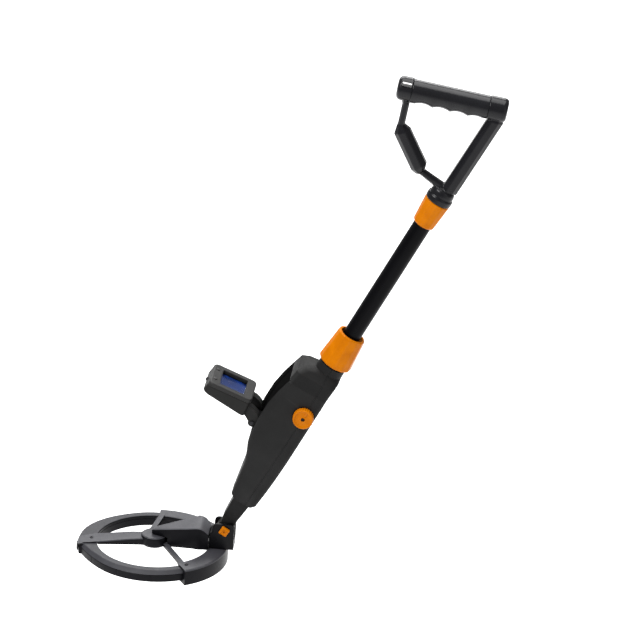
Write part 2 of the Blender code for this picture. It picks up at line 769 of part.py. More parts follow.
def make_display(pod):
    half = WINDOW_HALF - 0.3
    glass = block((-WINDOW_FAR + 0.3, -WINDOW_NEAR - 0.3), (-half, half), (23.9, 25.3), 0.2)
    place("lcd_window", glass, clear_plastic(), pod)
    panel = block((-WINDOW_FAR + 0.3, -WINDOW_NEAR - 0.3), (-half, half), (20.2, 23.5))
    place("lcd_panel", panel, lcd_blue(), pod)
    board = block((-67.0, -19.0), (-24.0, 24.0), (16.8, 18.4))
    place("pod_board", board, board_green(), pod)


def make_screen_buttons(pod):
    for name, side in (("mode_button", -1), ("select_button", 1)):
        button = turned([(0.0, 19.3), (2.4, 19.3), (2.4, 29.9), (1.8, 30.5), (0.0, 30.5)], 16)
        place(name, button, rubber(), pod, (-BUTTON_P, side * BUTTON_SPACING / 2, 0.0))
    nub = turned([(0.0, -3.4), (2.2, -3.4), (2.2, 1.6), (1.6, 2.2), (0.0, 2.2)], 16)
    place("power_button", nub, rubber(), pod, POWER_AT, (0.0, POWER_TURN, 0.0))


def make_hinge_pin(stem):
    at = (-HINGE_N, 0.0, HINGE_S)
    place("hinge_pin", disc(PIN_R, -23.6, 23.6, 12), steel(), stem, at, (90.0, 0.0, 0.0))
    head = [(0.0, 24.2), (2.7, 24.2), (2.7, 25.2), (1.9, 25.8), (0.0, 25.8)]
    for name, turn in (("hinge_screw_near", 90.0), ("hinge_screw_far", -90.0)):
        place(name, turned(head, 16), steel(), stem, at, (turn, 0.0, 0.0))


# ---------------------------------------------------------------- coil

def make_ring(coil):
    inner = RING_INNER_R
    outer = RING_OUTER_R
    wall = RING_WALL
    top = RING_SPLIT - 0.3
    base = [
        (inner + 1.0, RING_LOW), (outer - 1.0, RING_LOW), (outer, RING_LOW + 1.0), (outer, top),
        (outer - wall, top), (outer - wall, RING_LOW + 2.2), (inner + wall, RING_LOW + 2.2),
        (inner + wall, top), (inner, top), (inner, RING_LOW + 1.0),
    ]
    place("coil_base", turned(base, RING_SEGMENTS), coil_plastic(), coil)
    lid = [
        (inner, RING_SPLIT), (outer, RING_SPLIT), (RING_FLAT_R, RING_HIGH),
        (inner + 0.8, RING_HIGH), (inner, RING_HIGH - 0.8),
    ]
    place("coil_lid", turned(lid, RING_SEGMENTS), coil_plastic(), coil)
    place("transmit_winding", ring_body(81.0, 84.6, 6.0, 13.0, 32), copper(), coil)
    place("receive_winding", ring_body(75.5, 79.6, 6.0, 13.0, 32), copper(), coil)


def strut_body(start, end, half, low, high):
    """A straight flat bar between two floor points."""
    a = Vector((start[0], start[1], 0.0))
    b = Vector((end[0], end[1], 0.0))
    along = (b - a).normalized()
    side = Vector((-along.y, along.x, 0.0)) * half
    corners = [a + side, a - side, b - side, b + side]
    return loft([[c + Vector((0, 0, low)) for c in corners], [c + Vector((0, 0, high)) for c in corners]])


def spar_body():
    """Bar from the hub to the front tip, flat underneath and sloping down to the tip."""
    stations = (
        (6.0, 10.4, 16.2, 26.6), (-30.0, 10.0, 16.4, 25.0), (-69.5, 10.4, 16.8, 22.7),
        (-71.5, 11.0, 18.8, 22.4), (-84.0, 13.5, 18.8, 21.6), (-94.0, 16.5, 18.8, 20.9),
    )
    rings = []
    for x, half, low, high in stations:
        top = half - 2.2
        rings.append([Vector((x, y, z)) for y, z in (
            (-half, low), (half, low), (half, high - 1.6), (top, high), (-top, high), (-half, high - 1.6))])
    return loft(rings)


def polar(radius, degrees):
    angle = math.radians(degrees)
    return radius * math.cos(angle), radius * math.sin(angle)


def make_top_frame(coil):
    """Rear cover over the ring, hub, spar, two struts and the tip clip as one moulding."""
    inner = COVER_INNER_R
    outer = COVER_R
    under = RING_HIGH + GAP
    cover = [
        (outer, 0.0), (outer, COVER_HIGH - 0.6), (outer - 0.6, COVER_HIGH), (inner, COVER_HIGH),
        (inner, under), (RING_OUTER_R + 0.4, under), (RING_OUTER_R + 0.4, RING_LOW - GAP),
        (inner + 4.0, RING_LOW - GAP), (inner + 4.0, 0.0),
    ]
    bm = turned(cover, 26, COVER_FROM, COVER_TO - COVER_FROM)
    frame = place("coil_top_frame", bm, coil_plastic(), coil)
    near_end = polar(inner + 4.0, COVER_FROM + 3.0)
    far_end = polar(inner + 4.0, COVER_TO - 3.0)
    shape_with(frame, strut_body((14.0, -8.0), near_end, 3.3, 16.6, 20.2), "UNION", coil)
    shape_with(frame, strut_body((-9.5, 10.0), far_end, 3.3, 16.5, 20.3), "UNION", coil)
    ring_room = ring_body(RING_INNER_R - 0.4, RING_OUTER_R + 0.35, RING_LOW - 0.3, under - 0.02, 40)
    shape_with(frame, ring_room, "DIFFERENCE", coil)
    hub = [(0.0, HUB_LOW), (HUB_R - 1.5, HUB_LOW), (HUB_R, HUB_LOW + 2.0), (HUB_R, HUB_HIGH - 1.4)]
    hub += [(HUB_R - 1.5, HUB_HIGH), (0.0, HUB_HIGH)]
    shape_with(frame, turned(hub, 24), "UNION", coil)
    shape_with(frame, spar_body(), "UNION", coil)
    rail = block((10.0, 78.0), (-9.0, 9.0), (16.7, 20.4))
    shape_with(frame, rail, "UNION", coil)
    clip = block((-COVER_R, -RING_OUTER_R - 0.5), (-13.0, 13.0), (7.0, 20.3), 0.5)
    shape_with(frame, clip, "UNION", coil)
    shape_with(frame, ring_body(RING_INNER_R - 0.4, RING_OUTER_R + 0.35, 2.7, under - 0.01, 40),
               "DIFFERENCE", coil)


def make_spine_cover(coil):
    """Hollow wedge over the hub, from a point at the front to its full width at the yoke."""
    stations = (
        (-3.0, 2.4, 29.3, 35.8), (8.0, 7.0, 29.3, 39.0), (17.6, 9.8, 29.3, 41.4), (17.9, 9.9, 21.3, 41.5),
        (40.0, 16.0, 21.3, 47.0), (57.0, 19.6, 21.3, 51.0), (64.0, 18.6, 21.3, 48.4), (70.0, 16.4, 21.3, 42.6),
    )
    rings = []
    for x, half, low, high in stations:
        wall = min(2.0, half * 0.6)
        lip = min(1.6, half * 0.4)
        outer = [(-half, low), (-half, high - lip), (-half + lip, high)]
        outer += [(half - lip, high), (half, high - lip), (half, low)]
        inner = [(half - wall, low), (half - wall, high - wall - 1.0), (-half + wall, high - wall - 1.0)]
        inner.append((-half + wall, low))
        rings.append([Vector((x, y, z)) for y, z in outer + inner])
    place("spine_cover", loft(rings), coil_plastic(), coil)


def make_yoke(coil):
    outline = [
        (70.5, 21.15), (101.7, 21.15), (101.7, 52.5), (98.6, 55.7), (81.0, 55.7),
        (77.0, 54.0), (74.8, 50.0), (74.6, 44.0), (70.5, 41.5),
    ]
    yoke = place("yoke", prism_y(outline, YOKE_HALF), black_plastic(), coil)
    slot = block((73.6, 110.0), (-CHEEK_INNER, CHEEK_INNER), (33.5, 70.0))
    shape_with(yoke, slot, "DIFFERENCE", coil)
    at_pivot = (PIVOT[0], 0.0, PIVOT[1])
    hole = disc(BOLT_HOLE_R, -20.0, 20.0, 16)
    shape_with(yoke, hole, "DIFFERENCE", coil, at_pivot, (90.0, 0.0, 0.0))


def make_pivot_clamp(pivot):
    """Bolt along Y with its orange clamp knob on the near side and a hexagon nut on the far side."""
    around_y = (90.0, 0.0, 0.0)
    place("pivot_bolt", disc(BOLT_R, -14.6, 12.2, 16), steel(), pivot, (0, 0, 0), around_y)
    low = YOKE_HALF + 0.5
    square = []
    for inset, z in ((0.6, low), (0.0, low + 0.8), (0.0, low + 2.6), (1.9, low + 4.4)):
        half = 5.4 - inset
        square.append([Vector((x * half, y * half, z)) for x, y in ((1, 1), (-1, 1), (-1, -1), (1, -1))])
    place("pivot_knob", loft(square), orange_plastic(), pivot, (0, 0, 0), (90.0, 30.0, 0.0), 20.0)
    nut = ring_body(BOLT_HOLE_R, 5.4, YOKE_HALF + 0.3, YOKE_HALF + 3.4, 6)
    place("pivot_nut", nut, steel(), pivot, (0, 0, 0), (-90.0, 0.0, 0.0), 20.0)


def make_frame_screws(coil):
    """Screws that hold the top frame on the ring, one on the near end and one at the tip."""
    head = [(0.0, 0.0), (2.4, 0.0), (2.4, 0.9), (1.7, 1.5), (0.0, 1.5)]
    near = polar(80.0, COVER_FROM + 6.0)
    place("frame_screw_near", turned(head, 12), steel(), coil, (near[0], near[1], COVER_HIGH + 0.3))
    place("frame_screw_tip", turned(head, 12), steel(), coil, (-80.0, 0.0, 22.4))


# ---------------------------------------------------------------- assembly

def build():
    clear_scene()
    grip_middle = stem_to_floor(*grip_to_stem(GRIP_LENGTH / 2))
    floor = frame_empty("floor_frame", None, (-grip_middle[0], 0.0, -grip_middle[1]))
    stem = frame_empty("stem_frame", floor, (STEM_FOOT[0], 0.0, STEM_FOOT[1]), 90.0 - STEM_ANGLE)
    grip = frame_empty("grip_frame", stem, stem_xyz(*GRIP_FRONT), GRIP_TURN)
    pod = frame_empty("pod_frame", stem, stem_xyz(HINGE_S, HINGE_N), -POD_LEAN)
    pivot = frame_empty("pivot_frame", floor, (PIVOT[0], 0.0, PIVOT[1]))
    coil = frame_empty("coil_frame", pivot, (-PIVOT[0], 0.0, -PIVOT[1]))
    tilt = front_slope()
    door_n = HOUSING_STATIONS[1][1] + (DOOR_LOW - HOUSING_STATIONS[1][0]) * math.tan(math.radians(tilt))
    door = frame_empty("door_frame", stem, stem_xyz(DOOR_LOW, door_n), -tilt)

    make_handle_frame(stem, grip)
    make_hand_grip(grip)
    make_collars(stem)
    make_collets(stem)
    make_stem_tube(stem)
    make_threaded_neck(stem)
    make_shells(stem, door)
    make_battery_door(door)
    make_screen_tray(stem)
    make_electronics(stem)
    make_knob(stem)
    make_lower_stem(stem)
    make_coil_lead(stem)
    make_shell_screws(stem)
    make_pod_back(pod)
    make_pod_bezel(pod)
    make_display(pod)
    make_screen_buttons(pod)
    make_hinge_pin(stem)
    make_ring(coil)
    make_top_frame(coil)
    make_spine_cover(coil)
    make_yoke(coil)
    make_pivot_clamp(pivot)
    make_frame_screws(coil)


build()
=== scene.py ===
"""Youth metal detector: the looks of every piece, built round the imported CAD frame.

Pieces are modelled in millimetres in the CAD's own frames (floor, stem, grip, pod, door and pivot) and
turned into the frame's metres as each one is finished.
"""

import math

import bmesh
import bpy
from mathutils import Matrix, Vector


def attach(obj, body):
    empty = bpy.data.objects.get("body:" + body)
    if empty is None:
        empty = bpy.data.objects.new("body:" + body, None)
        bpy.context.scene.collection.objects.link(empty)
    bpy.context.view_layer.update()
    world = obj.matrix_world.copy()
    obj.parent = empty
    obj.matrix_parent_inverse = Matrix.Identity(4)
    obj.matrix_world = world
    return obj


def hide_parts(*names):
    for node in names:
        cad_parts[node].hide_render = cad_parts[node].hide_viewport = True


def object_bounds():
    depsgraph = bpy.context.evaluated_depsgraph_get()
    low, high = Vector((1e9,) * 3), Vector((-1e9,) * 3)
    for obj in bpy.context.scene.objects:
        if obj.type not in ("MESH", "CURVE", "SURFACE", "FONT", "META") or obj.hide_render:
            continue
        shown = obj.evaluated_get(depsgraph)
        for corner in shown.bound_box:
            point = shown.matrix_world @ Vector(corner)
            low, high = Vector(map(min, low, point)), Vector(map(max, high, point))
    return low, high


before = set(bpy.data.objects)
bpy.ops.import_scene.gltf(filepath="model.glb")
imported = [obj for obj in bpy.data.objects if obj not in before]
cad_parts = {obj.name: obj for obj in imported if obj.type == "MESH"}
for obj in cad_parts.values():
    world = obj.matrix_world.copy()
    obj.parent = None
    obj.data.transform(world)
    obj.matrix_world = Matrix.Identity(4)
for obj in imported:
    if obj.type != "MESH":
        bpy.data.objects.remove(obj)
cad_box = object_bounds()

MM = 0.001

# Frames of the CAD, millimetres and degrees. s runs up the tube and n towards its front; on the screen
# p runs out from the hinge and q through the thickness.
ORIGIN = (338.41804, 0.0, 645.61777)
STEM_FOOT = (92.8, 44.3)
STEM_ANGLE = 63.2
GRIP_FRONT = (625.6, 116.8)
GRIP_TURN = 71.38
GRIP_LENGTH = 137.0
HINGE_S = 155.0
HINGE_N = 49.3
POD_LEAN = 5.3
DOOR_LOW = 55.0
DOOR_HIGH = 96.5
DOOR_TILT = 9.33839
DOOR_N = 23.0933
PIVOT = (89.5, 47.3)


def turn_y(degrees):
    return Matrix.Rotation(math.radians(degrees), 4, "Y")


def turn_z(degrees):
    return Matrix.Rotation(math.radians(degrees), 4, "Z")


def moved(x, y, z):
    return Matrix.Translation((x, y, z))


METRES = Matrix.Scale(MM, 4)
FLOOR = METRES @ moved(-ORIGIN[0], 0.0, -ORIGIN[2])
STEM = FLOOR @ moved(STEM_FOOT[0], 0.0, STEM_FOOT[1]) @ turn_y(90.0 - STEM_ANGLE)
GRIP = STEM @ moved(-GRIP_FRONT[1], 0.0, GRIP_FRONT[0]) @ turn_y(GRIP_TURN)
POD = STEM @ moved(-HINGE_N, 0.0, HINGE_S) @ turn_y(-POD_LEAN)
DOOR = STEM @ moved(-DOOR_N, 0.0, DOOR_LOW) @ turn_y(-DOOR_TILT)
PIVOT_AT = FLOOR @ moved(PIVOT[0], 0.0, PIVOT[1])
ROUND_Y = Matrix.Rotation(math.radians(90.0), 4, "X")
ROUND_FAR_Y = Matrix.Rotation(math.radians(-90.0), 4, "X")


# ---------- materials

class Nodes:
    """Short calls for building a node tree."""

    def __init__(self, name):
        self.material = bpy.data.materials.new(name)
        self.material.use_nodes = True
        self.tree = self.material.node_tree
        self.shader = self.tree.nodes["Principled BSDF"]
        self.place = self.add("ShaderNodeTexCoord").outputs["Object"]

    def add(self, kind, values=None, **settings):
        """A node with the values of its sockets and its settings."""
        node = self.tree.nodes.new(kind)
        for key, value in settings.items():
            setattr(node, key, value)
        for socket, value in (values or {}).items():
            node.inputs[socket].default_value = value
        return node

    def link(self, source, target):
        self.tree.links.new(source, target)

    def scaled(self, scale, turn=(0.0, 0.0, 0.0)):
        """Object coordinates turned and then scaled by axis."""
        turned_place = self.add("ShaderNodeMapping", {"Rotation": [math.radians(a) for a in turn]})
        self.link(self.place, turned_place.inputs["Vector"])
        stretched = self.add("ShaderNodeMapping", {"Scale": scale})
        self.link(turned_place.outputs[0], stretched.inputs["Vector"])
        return stretched.outputs[0]

    def noise(self, scale, detail=2.0, rough=0.5, place=None):
        node = self.add("ShaderNodeTexNoise", {"Scale": scale, "Detail": detail, "Roughness": rough})
        self.link(place or self.place, node.inputs["Vector"])
        return node.outputs["Fac"]

    def cells(self, scale, place=None):
        node = self.add("ShaderNodeTexVoronoi", {"Scale": scale})
        self.link(place or self.place, node.inputs["Vector"])
        return node.outputs["Distance"]

    def ramp(self, value, low, high, from_low=0.0, from_high=1.0):
        """Map a value from one range to another, clamped."""
        ends = {"From Min": from_low, "From Max": from_high, "To Min": low, "To Max": high}
        node = self.add("ShaderNodeMapRange", ends)
        self.link(value, node.inputs["Value"])
        return node.outputs[0]

    def math(self, operation, a, b):
        node = self.add("ShaderNodeMath", operation=operation)
        for socket, value in zip(node.inputs, (a, b)):
            if isinstance(value, (int, float)):
                socket.default_value = value
            else:
                self.link(value, socket)
        return node.outputs[0]

    def mix(self, factor, a, b):
        """Mix two colours; each is a triple or a socket."""
        node = self.add("ShaderNodeMix", data_type="RGBA")
        colours = [s for s in node.inputs if s.type == "RGBA"]
        self.link(factor, node.inputs["Factor"])
        for socket, value in zip(colours, (a, b)):
            if isinstance(value, tuple):
                socket.default_value = (*value, 1.0)
            else:
                self.link(value, socket)
        return [s for s in node.outputs if s.type == "RGBA"][0]

    def bump(self, height, distance, strength=1.0):
        node = self.add("ShaderNodeBump", {"Distance": distance * MM, "Strength": strength})
        self.link(height, node.inputs["Height"])
        return node.outputs[0]

    def edges(self):
        """1 on worn outer edges, 0 elsewhere."""
        geometry = self.add("ShaderNodeNewGeometry")
        return self.ramp(geometry.outputs["Pointiness"], 0.0, 1.0, 0.52, 0.60)

    def set(self, name, value):
        self.shader.inputs[name].default_value = value

    def finish(self, colour, roughness, normal=None):
        self.link(colour, self.shader.inputs["Base Color"])
        self.link(roughness, self.shader.inputs["Roughness"])
        if normal:
            self.link(normal, self.shader.inputs["Normal"])
        return self.material


def lighter(colour, amount):
    return tuple(c * amount for c in colour)


def moulded(name, colour, rough, grain=0.45, depth=0.02, mottle=0.12, wear=1.8, specular=0.15):
    """Injection-moulded plastic: spark-eroded grain, faint flow marks and slightly polished edges.

    Grain and depth are the size and height of the surface texture in millimetres.
    """
    n = Nodes(name)
    fine = n.cells(1.0 / (grain * MM))
    soft = n.noise(0.45 / (grain * MM), 3.0, 0.6)
    flow = n.ramp(n.noise(38.0, 3.0, 0.55), 0.0, 1.0, 0.3, 0.7)
    dust = n.noise(420.0, 4.0, 0.7)
    body = n.mix(flow, lighter(colour, 1.0 - mottle), lighter(colour, 1.0 + mottle))
    dusty = n.mix(n.ramp(dust, 0.0, 0.25, 0.58, 0.78), body, lighter(colour, 1.45))
    worn = n.mix(n.math("MULTIPLY", n.edges(), 0.35), dusty, lighter(colour, wear))
    base_rough = n.ramp(soft, rough - 0.07, rough + 0.07, 0.3, 0.7)
    polished = n.math("SUBTRACT", base_rough, n.math("MULTIPLY", n.edges(), 0.08))
    height = n.math("ADD", n.math("MULTIPLY", fine, 0.6), soft)
    n.set("Specular IOR Level", specular)
    return n.finish(worn, polished, n.bump(height, depth))


def glossy(name, colour, deep, rough=0.28):
    """Bright glossy plastic with a little depth of colour, faint handling scratches and orange-peel."""
    n = Nodes(name)
    cloud = n.noise(55.0, 2.0, 0.5)
    peel = n.noise(700.0, 2.0, 0.5)
    scratch = n.noise(90.0, 5.0, 0.8, n.scaled((1.0, 9.0, 30.0), (0.0, 26.8, 0.0)))
    body = n.mix(n.ramp(cloud, 0.0, 1.0, 0.35, 0.65), deep, colour)
    worn = n.mix(n.math("MULTIPLY", n.edges(), 0.3), body, tuple(min(1.0, c * 1.25 + 0.02) for c in colour))
    rough_map = n.ramp(scratch, rough - 0.06, rough + 0.12, 0.35, 0.75)
    height = n.math("ADD", peel, n.math("MULTIPLY", scratch, 0.5))
    n.set("Specular IOR Level", 0.06)
    return n.finish(worn, rough_map, n.bump(height, 0.015, 0.6))


def anodised(name, colour, rough, turn):
    """Dark anodised or painted tube: fine draw lines along its length and a soft sheen."""
    n = Nodes(name)
    lines = n.noise(300.0, 3.0, 0.6, n.scaled((1.0, 1.0, 0.03), (0.0, -turn, 0.0)))
    cloud = n.noise(24.0, 3.0, 0.6)
    rub = n.noise(160.0, 4.0, 0.75, n.scaled((1.0, 1.0, 0.2), (0.0, -turn, 0.0)))
    body = n.mix(n.ramp(cloud, 0.0, 1.0, 0.35, 0.7), lighter(colour, 0.85), lighter(colour, 1.3))
    rubbed = n.mix(n.ramp(rub, 0.0, 0.35, 0.62, 0.75), body, lighter(colour, 2.0))
    n.set("Specular IOR Level", 0.06)
    return n.finish(rubbed, n.ramp(lines, rough - 0.05, rough + 0.1, 0.3, 0.7), n.bump(lines, 0.01, 0.5))


def metal(name, colour, rough, wear=0.4):
    """Plated or bright metal with fine turning marks and a few dull spots."""
    n = Nodes(name)
    fine = n.noise(900.0, 3.0, 0.6)
    spots = n.noise(300.0, 4.0, 0.7)
    body = n.mix(n.ramp(spots, 0.0, 1.0, 0.45, 0.7), colour, lighter(colour, wear))
    n.set("Metallic", 1.0)
    return n.finish(body, n.ramp(spots, rough, rough + 0.22, 0.4, 0.7), n.bump(fine, 0.01, 0.5))


def rubbery(name, colour):
    n = Nodes(name)
    fine = n.noise(1500.0, 3.0, 0.7)
    chalk = n.noise(130.0, 4.0, 0.7)
    body = n.mix(n.ramp(chalk, 0.0, 0.6, 0.5, 0.8), colour, lighter(colour, 1.9))
    return n.finish(body, n.ramp(chalk, 0.6, 0.85), n.bump(fine, 0.02, 0.6))


def display_face(name, deep, glow):
    """Blue liquid-crystal panel: a fine pixel lattice over a cloudy film, with a weak painted glow from
    emission.
    """
    n = Nodes(name)
    lattice = n.add("ShaderNodeTexBrick", {
        "Scale": 1.0, "Mortar Size": 0.05 * MM, "Brick Width": 0.9 * MM, "Row Height": 0.9 * MM,
        "Color1": (1.0, 1.0, 1.0, 1.0), "Color2": (0.93, 0.93, 0.93, 1.0), "Mortar": (0.7, 0.7, 0.7, 1.0),
    }, offset=0.0)
    n.link(n.scaled((1.0, 1.0, 1.0), (90.0, 0.0, 0.0)), lattice.inputs["Vector"])
    film = n.noise(45.0, 2.0, 0.5)
    body = n.mix(n.ramp(film, 0.0, 1.0, 0.3, 0.7), deep, glow)
    shade = n.mix(lattice.outputs["Color"], lighter(deep, 0.6), body)
    # Painted glow: the panel weakly emits its own colour
    n.link(shade, n.shader.inputs["Emission Color"])
    n.set("Emission Strength", 0.15)
    n.set("Specular IOR Level", 0.15)
    return n.finish(shade, n.ramp(film, 0.25, 0.4), n.bump(film, 0.02, 0.3))


def printed_board(name):
    n = Nodes(name)
    tracks = n.cells(380.0)
    film = n.noise(260.0, 3.0, 0.6)
    body = n.mix(n.ramp(tracks, 1.0, 0.0, 0.1, 0.5), (0.010, 0.085, 0.030), (0.022, 0.17, 0.06))
    return n.finish(body, n.ramp(film, 0.3, 0.5), n.bump(tracks, 0.05, 0.5))


def clear_cover(name):
    """Thin clear window: a faint gloss over whatever lies behind."""
    n = Nodes(name)
    smear = n.noise(70.0, 4.0, 0.7)
    tint = n.mix(n.ramp(smear, 0.0, 1.0, 0.4, 0.7), (0.86, 0.90, 1.0), (0.95, 0.97, 1.0))
    n.set("Transmission Weight", 1.0)
    n.set("IOR", 1.12)
    return n.finish(tint, n.ramp(smear, 0.02, 0.1, 0.45, 0.7))


HANDLE = moulded("satin_black", (0.007, 0.007, 0.0085), 0.24, grain=0.5, depth=0.008, specular=0.2)
SLEEVE = moulded("grip_black", (0.007, 0.007, 0.0085), 0.24, grain=0.55, depth=0.008, specular=0.24)
HOUSING = moulded("matte_charcoal", (0.011, 0.011, 0.011), 0.58, grain=0.6, depth=0.03, specular=0.11)
# The arm's finish is a darker copy of the housing's: painted shade where the arm lies in shadow
ARM_SHADED = moulded("arm_painted_shade", (0.0055, 0.0055, 0.0055), 0.5, grain=0.6, depth=0.03, specular=0.12)
YOKE_BLACK = moulded("yoke_black", (0.0025, 0.0025, 0.0032), 0.4, grain=0.5, specular=0.12)
RECESS = moulded("recess_black", (0.002, 0.002, 0.0022), 0.55, grain=0.5, specular=0.05)
KEY_GREY = moulded("key_grey", (0.034, 0.034, 0.033), 0.5, grain=0.4, specular=0.15)
WEDGE = moulded("wedge_grey", (0.06, 0.06, 0.067), 0.5, grain=0.8, depth=0.05, mottle=0.18, specular=0.2)
# The shoulder finish is a paler copy of the recess lining: painted light on the lit upper shoulder
LIT_SHOULDER = moulded("recess_shoulder_painted_light", (0.06, 0.06, 0.06), 0.55, grain=0.5, specular=0.2)
POD_FACE_GREY = moulded("pod_grey", (0.0165, 0.0163, 0.016), 0.5, grain=0.5, specular=0.2)
POD_SIDE = moulded("pod_charcoal", (0.0135, 0.0135, 0.013), 0.5, grain=0.5, specular=0.11)
# coil_grey and its darker side copy are lit and shaded copies of one finish: the side copy is painted shade
# for walls and undersides
COIL = moulded("coil_grey", (0.032, 0.032, 0.037), 0.5, grain=0.8, depth=0.05, mottle=0.18, specular=0.2)
COIL_SHADED_SIDE = moulded("coil_painted_side_shade", (0.004, 0.004, 0.0052), 0.42, grain=0.6, depth=0.03, specular=0.08)
ORANGE = glossy("glossy_orange", (0.52, 0.15, 0.0), (0.44, 0.12, 0.0))
TUBE = anodised("tube_black", (0.0014, 0.0014, 0.002), 0.3, 90.0 - STEM_ANGLE)
STEEL = metal("plated_steel", (0.42, 0.42, 0.44), 0.28)
BLACK_STEEL = metal("blackened_steel", (0.035, 0.035, 0.038), 0.34, 1.6)
COPPER = metal("enamelled_copper", (0.5, 0.17, 0.05), 0.3)
NYLON = moulded("natural_nylon", (0.5, 0.5, 0.46), 0.5, grain=0.5, wear=1.1)
RUBBER = rubbery("black_rubber", (0.01, 0.01, 0.01))
JACKET = rubbery("lead_jacket", (0.013, 0.013, 0.013))
BOARD = printed_board("solder_mask")
LCD = display_face("blue_display", (0.002, 0.015, 0.086), (0.003, 0.022, 0.120))
WINDOW = clear_cover("clear_window")
BATTERY = moulded("battery_skin", (0.08, 0.08, 0.1), 0.35, grain=0.6)

# Finishes of the carried-over nodes
CARRIED_OVER = (
    (HANDLE, "handle_frame yoke"),
    (SLEEVE, "hand_grip"),
    (NYLON, "upper_collet lower_collet"),
    (ORANGE, "upper_collar lower_collar control_knob pivot_knob"),
    (TUBE, "stem_tube"),
    (RUBBER, "tube_end_plug speaker battery_snap pivot_washer_near pivot_washer_far"),
    (RUBBER, "mode_button select_button power_button"),
    (HOUSING, "threaded_neck front_shell back_shell battery_door lower_stem"),
    (RECESS, "screen_tray"),
    (BOARD, "circuit_board pod_board"),
    (BATTERY, "battery"),
    (STEEL, "potentiometer knob_shaft hinge_pin pivot_bolt"),
    (BLACK_STEEL, "knob_screw hinge_screw_near hinge_screw_far pivot_nut frame_screw_near frame_screw_tip"),
    (BLACK_STEEL, "shell_screw_1 shell_screw_2 shell_screw_3 shell_screw_4"),
    (JACKET, "coil_lead"),
    (POD_SIDE, "pod_back"),
    (POD_FACE_GREY, "pod_bezel"),
    (WINDOW, "lcd_window"),
    (LCD, "lcd_panel"),
    (COIL, "coil_base coil_lid coil_top_frame spine_cover"),
    (COPPER, "transmit_winding receive_winding"),
)
for finish, names in CARRIED_OVER:
    for node_name in names.split():
        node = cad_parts[node_name]
        node.data.materials.clear()
        node.data.materials.append(finish)


# ---------- mesh helpers

def polar(radius, degrees):
    angle = math.radians(degrees)
    return radius * math.cos(angle), radius * math.sin(angle)


def loft(rings, closed=False):
    """A body through rings of equal point counts, capped at both ends or closed on its first ring."""
    bm = bmesh.new()
    rows = [[bm.verts.new(point) for point in ring] for ring in rings]
    count = len(rows[0])
    for low, high in zip(rows, rows[1:] + rows[:1] if closed else rows[1:]):
        for i in range(count):
            j = (i + 1) % count
            bm.faces.new((low[i], low[j], high[j], high[i]))
    if not closed:
        bm.faces.new(rows[0])
        bm.faces.new(rows[-1])
    return bm


def around(radius, z, segments, shape=None):
    """Points of a circle at height z; shape changes the radius by angle."""
    points = []
    for k in range(segments):
        angle = 2.0 * math.pi * k / segments
        r = shape(radius, angle) if shape else radius
        points.append((r * math.cos(angle), r * math.sin(angle), z))
    return points


def turned(profile, segments, shape=None):
    """Turn a profile of (radius, z) about Z. Radius 0 at both ends gives a solid, else a closed ring."""
    if profile[0][0] > 0.0:
        return loft([around(r, z, segments, shape) for r, z in profile], closed=True)
    rings = [around(max(r, 0.01), z, segments, shape) for r, z in profile]
    return loft(rings)


def part_turned(profile, segments, start, sweep):
    """Turn a closed profile of (radius, z) through part of a circle, in degrees."""
    rings = []
    for k in range(segments + 1):
        rings.append([(*polar(r, start + sweep * k / segments), z) for r, z in profile])
    return loft(rings)


def disc(radius, low, high, segments=48):
    return loft([around(radius, z, segments) for z in (low, high)])


def prism_y(outline, half, middle=0.0):
    """Extrude an outline of (x, z) points along Y."""
    return loft([[(x, middle + side * half, z) for x, z in outline] for side in (-1, 1)])


def block(x_range, y_range, z_range):
    (x_low, x_high), (y_low, y_high) = x_range, y_range
    corners = [(x_low, y_low), (x_high, y_low), (x_high, y_high), (x_low, y_high)]
    return loft([[(x, y, z) for x, y in corners] for z in z_range])


def arc(centre, radius, start, end, steps):
    points = []
    for k in range(steps + 1):
        x, y = polar(radius, start + (end - start) * k / steps)
        points.append((centre[0] + x, centre[1] + y))
    return points


def rounded_rectangle(low, high, half, radius, steps=8):
    """First axis from low to high, second axis from -half to half."""
    left, right, side = low + radius, high - radius, half - radius
    points = []
    for k, centre in enumerate(((right, side), (left, side), (left, -side), (right, -side))):
        points += arc(centre, radius, 90 * k, 90 * k + 90, steps)
    return points


def linked(name, data):
    """A new object of that data, in the scene."""
    made = bpy.data.objects.new(name, data)
    bpy.context.scene.collection.objects.link(made)
    return made


def shape_object(name, bm):
    """An object of closed meshes in local millimetres."""
    bmesh.ops.recalc_face_normals(bm, faces=bm.faces[:])
    mesh = bpy.data.meshes.new(name)
    bm.to_mesh(mesh)
    bm.free()
    return linked(name, mesh)


def applied(obj):
    """Replace an object's mesh by what its modifiers make of it."""
    bpy.context.view_layer.update()
    graph = bpy.context.evaluated_depsgraph_get()
    made = bpy.data.meshes.new_from_object(obj.evaluated_get(graph), depsgraph=graph)
    old = obj.data
    obj.modifiers.clear()
    obj.data = made
    bpy.data.meshes.remove(old)


def combine(obj, tools, operation):
    """Join tools to obj or cut them away; each tool is a mesh in the object's own millimetres."""
    for tool in tools:
        other = shape_object("tool", tool)
        step = obj.modifiers.new("combine", "BOOLEAN")
        step.operation = operation
        step.solver = "EXACT"
        step.object = other
        applied(obj)
        bpy.data.objects.remove(other)


def rounded(obj, width, angle, segments=2):
    """Round every edge sharper than angle."""
    step = obj.modifiers.new("round", "BEVEL")
    step.width = width
    step.segments = segments
    step.limit_method = "ANGLE"
    step.angle_limit = math.radians(angle)
    step.miter_outer = "MITER_ARC"
    applied(obj)


def melted(obj, voxel, passes):
    """Fuse overlapping bodies into one skin with small fillets where they meet."""
    step = obj.modifiers.new("fuse", "REMESH")
    step.mode = "VOXEL"
    step.voxel_size = voxel
    applied(obj)
    step = obj.modifiers.new("even", "SMOOTH")
    step.factor = 0.5
    step.iterations = passes
    applied(obj)


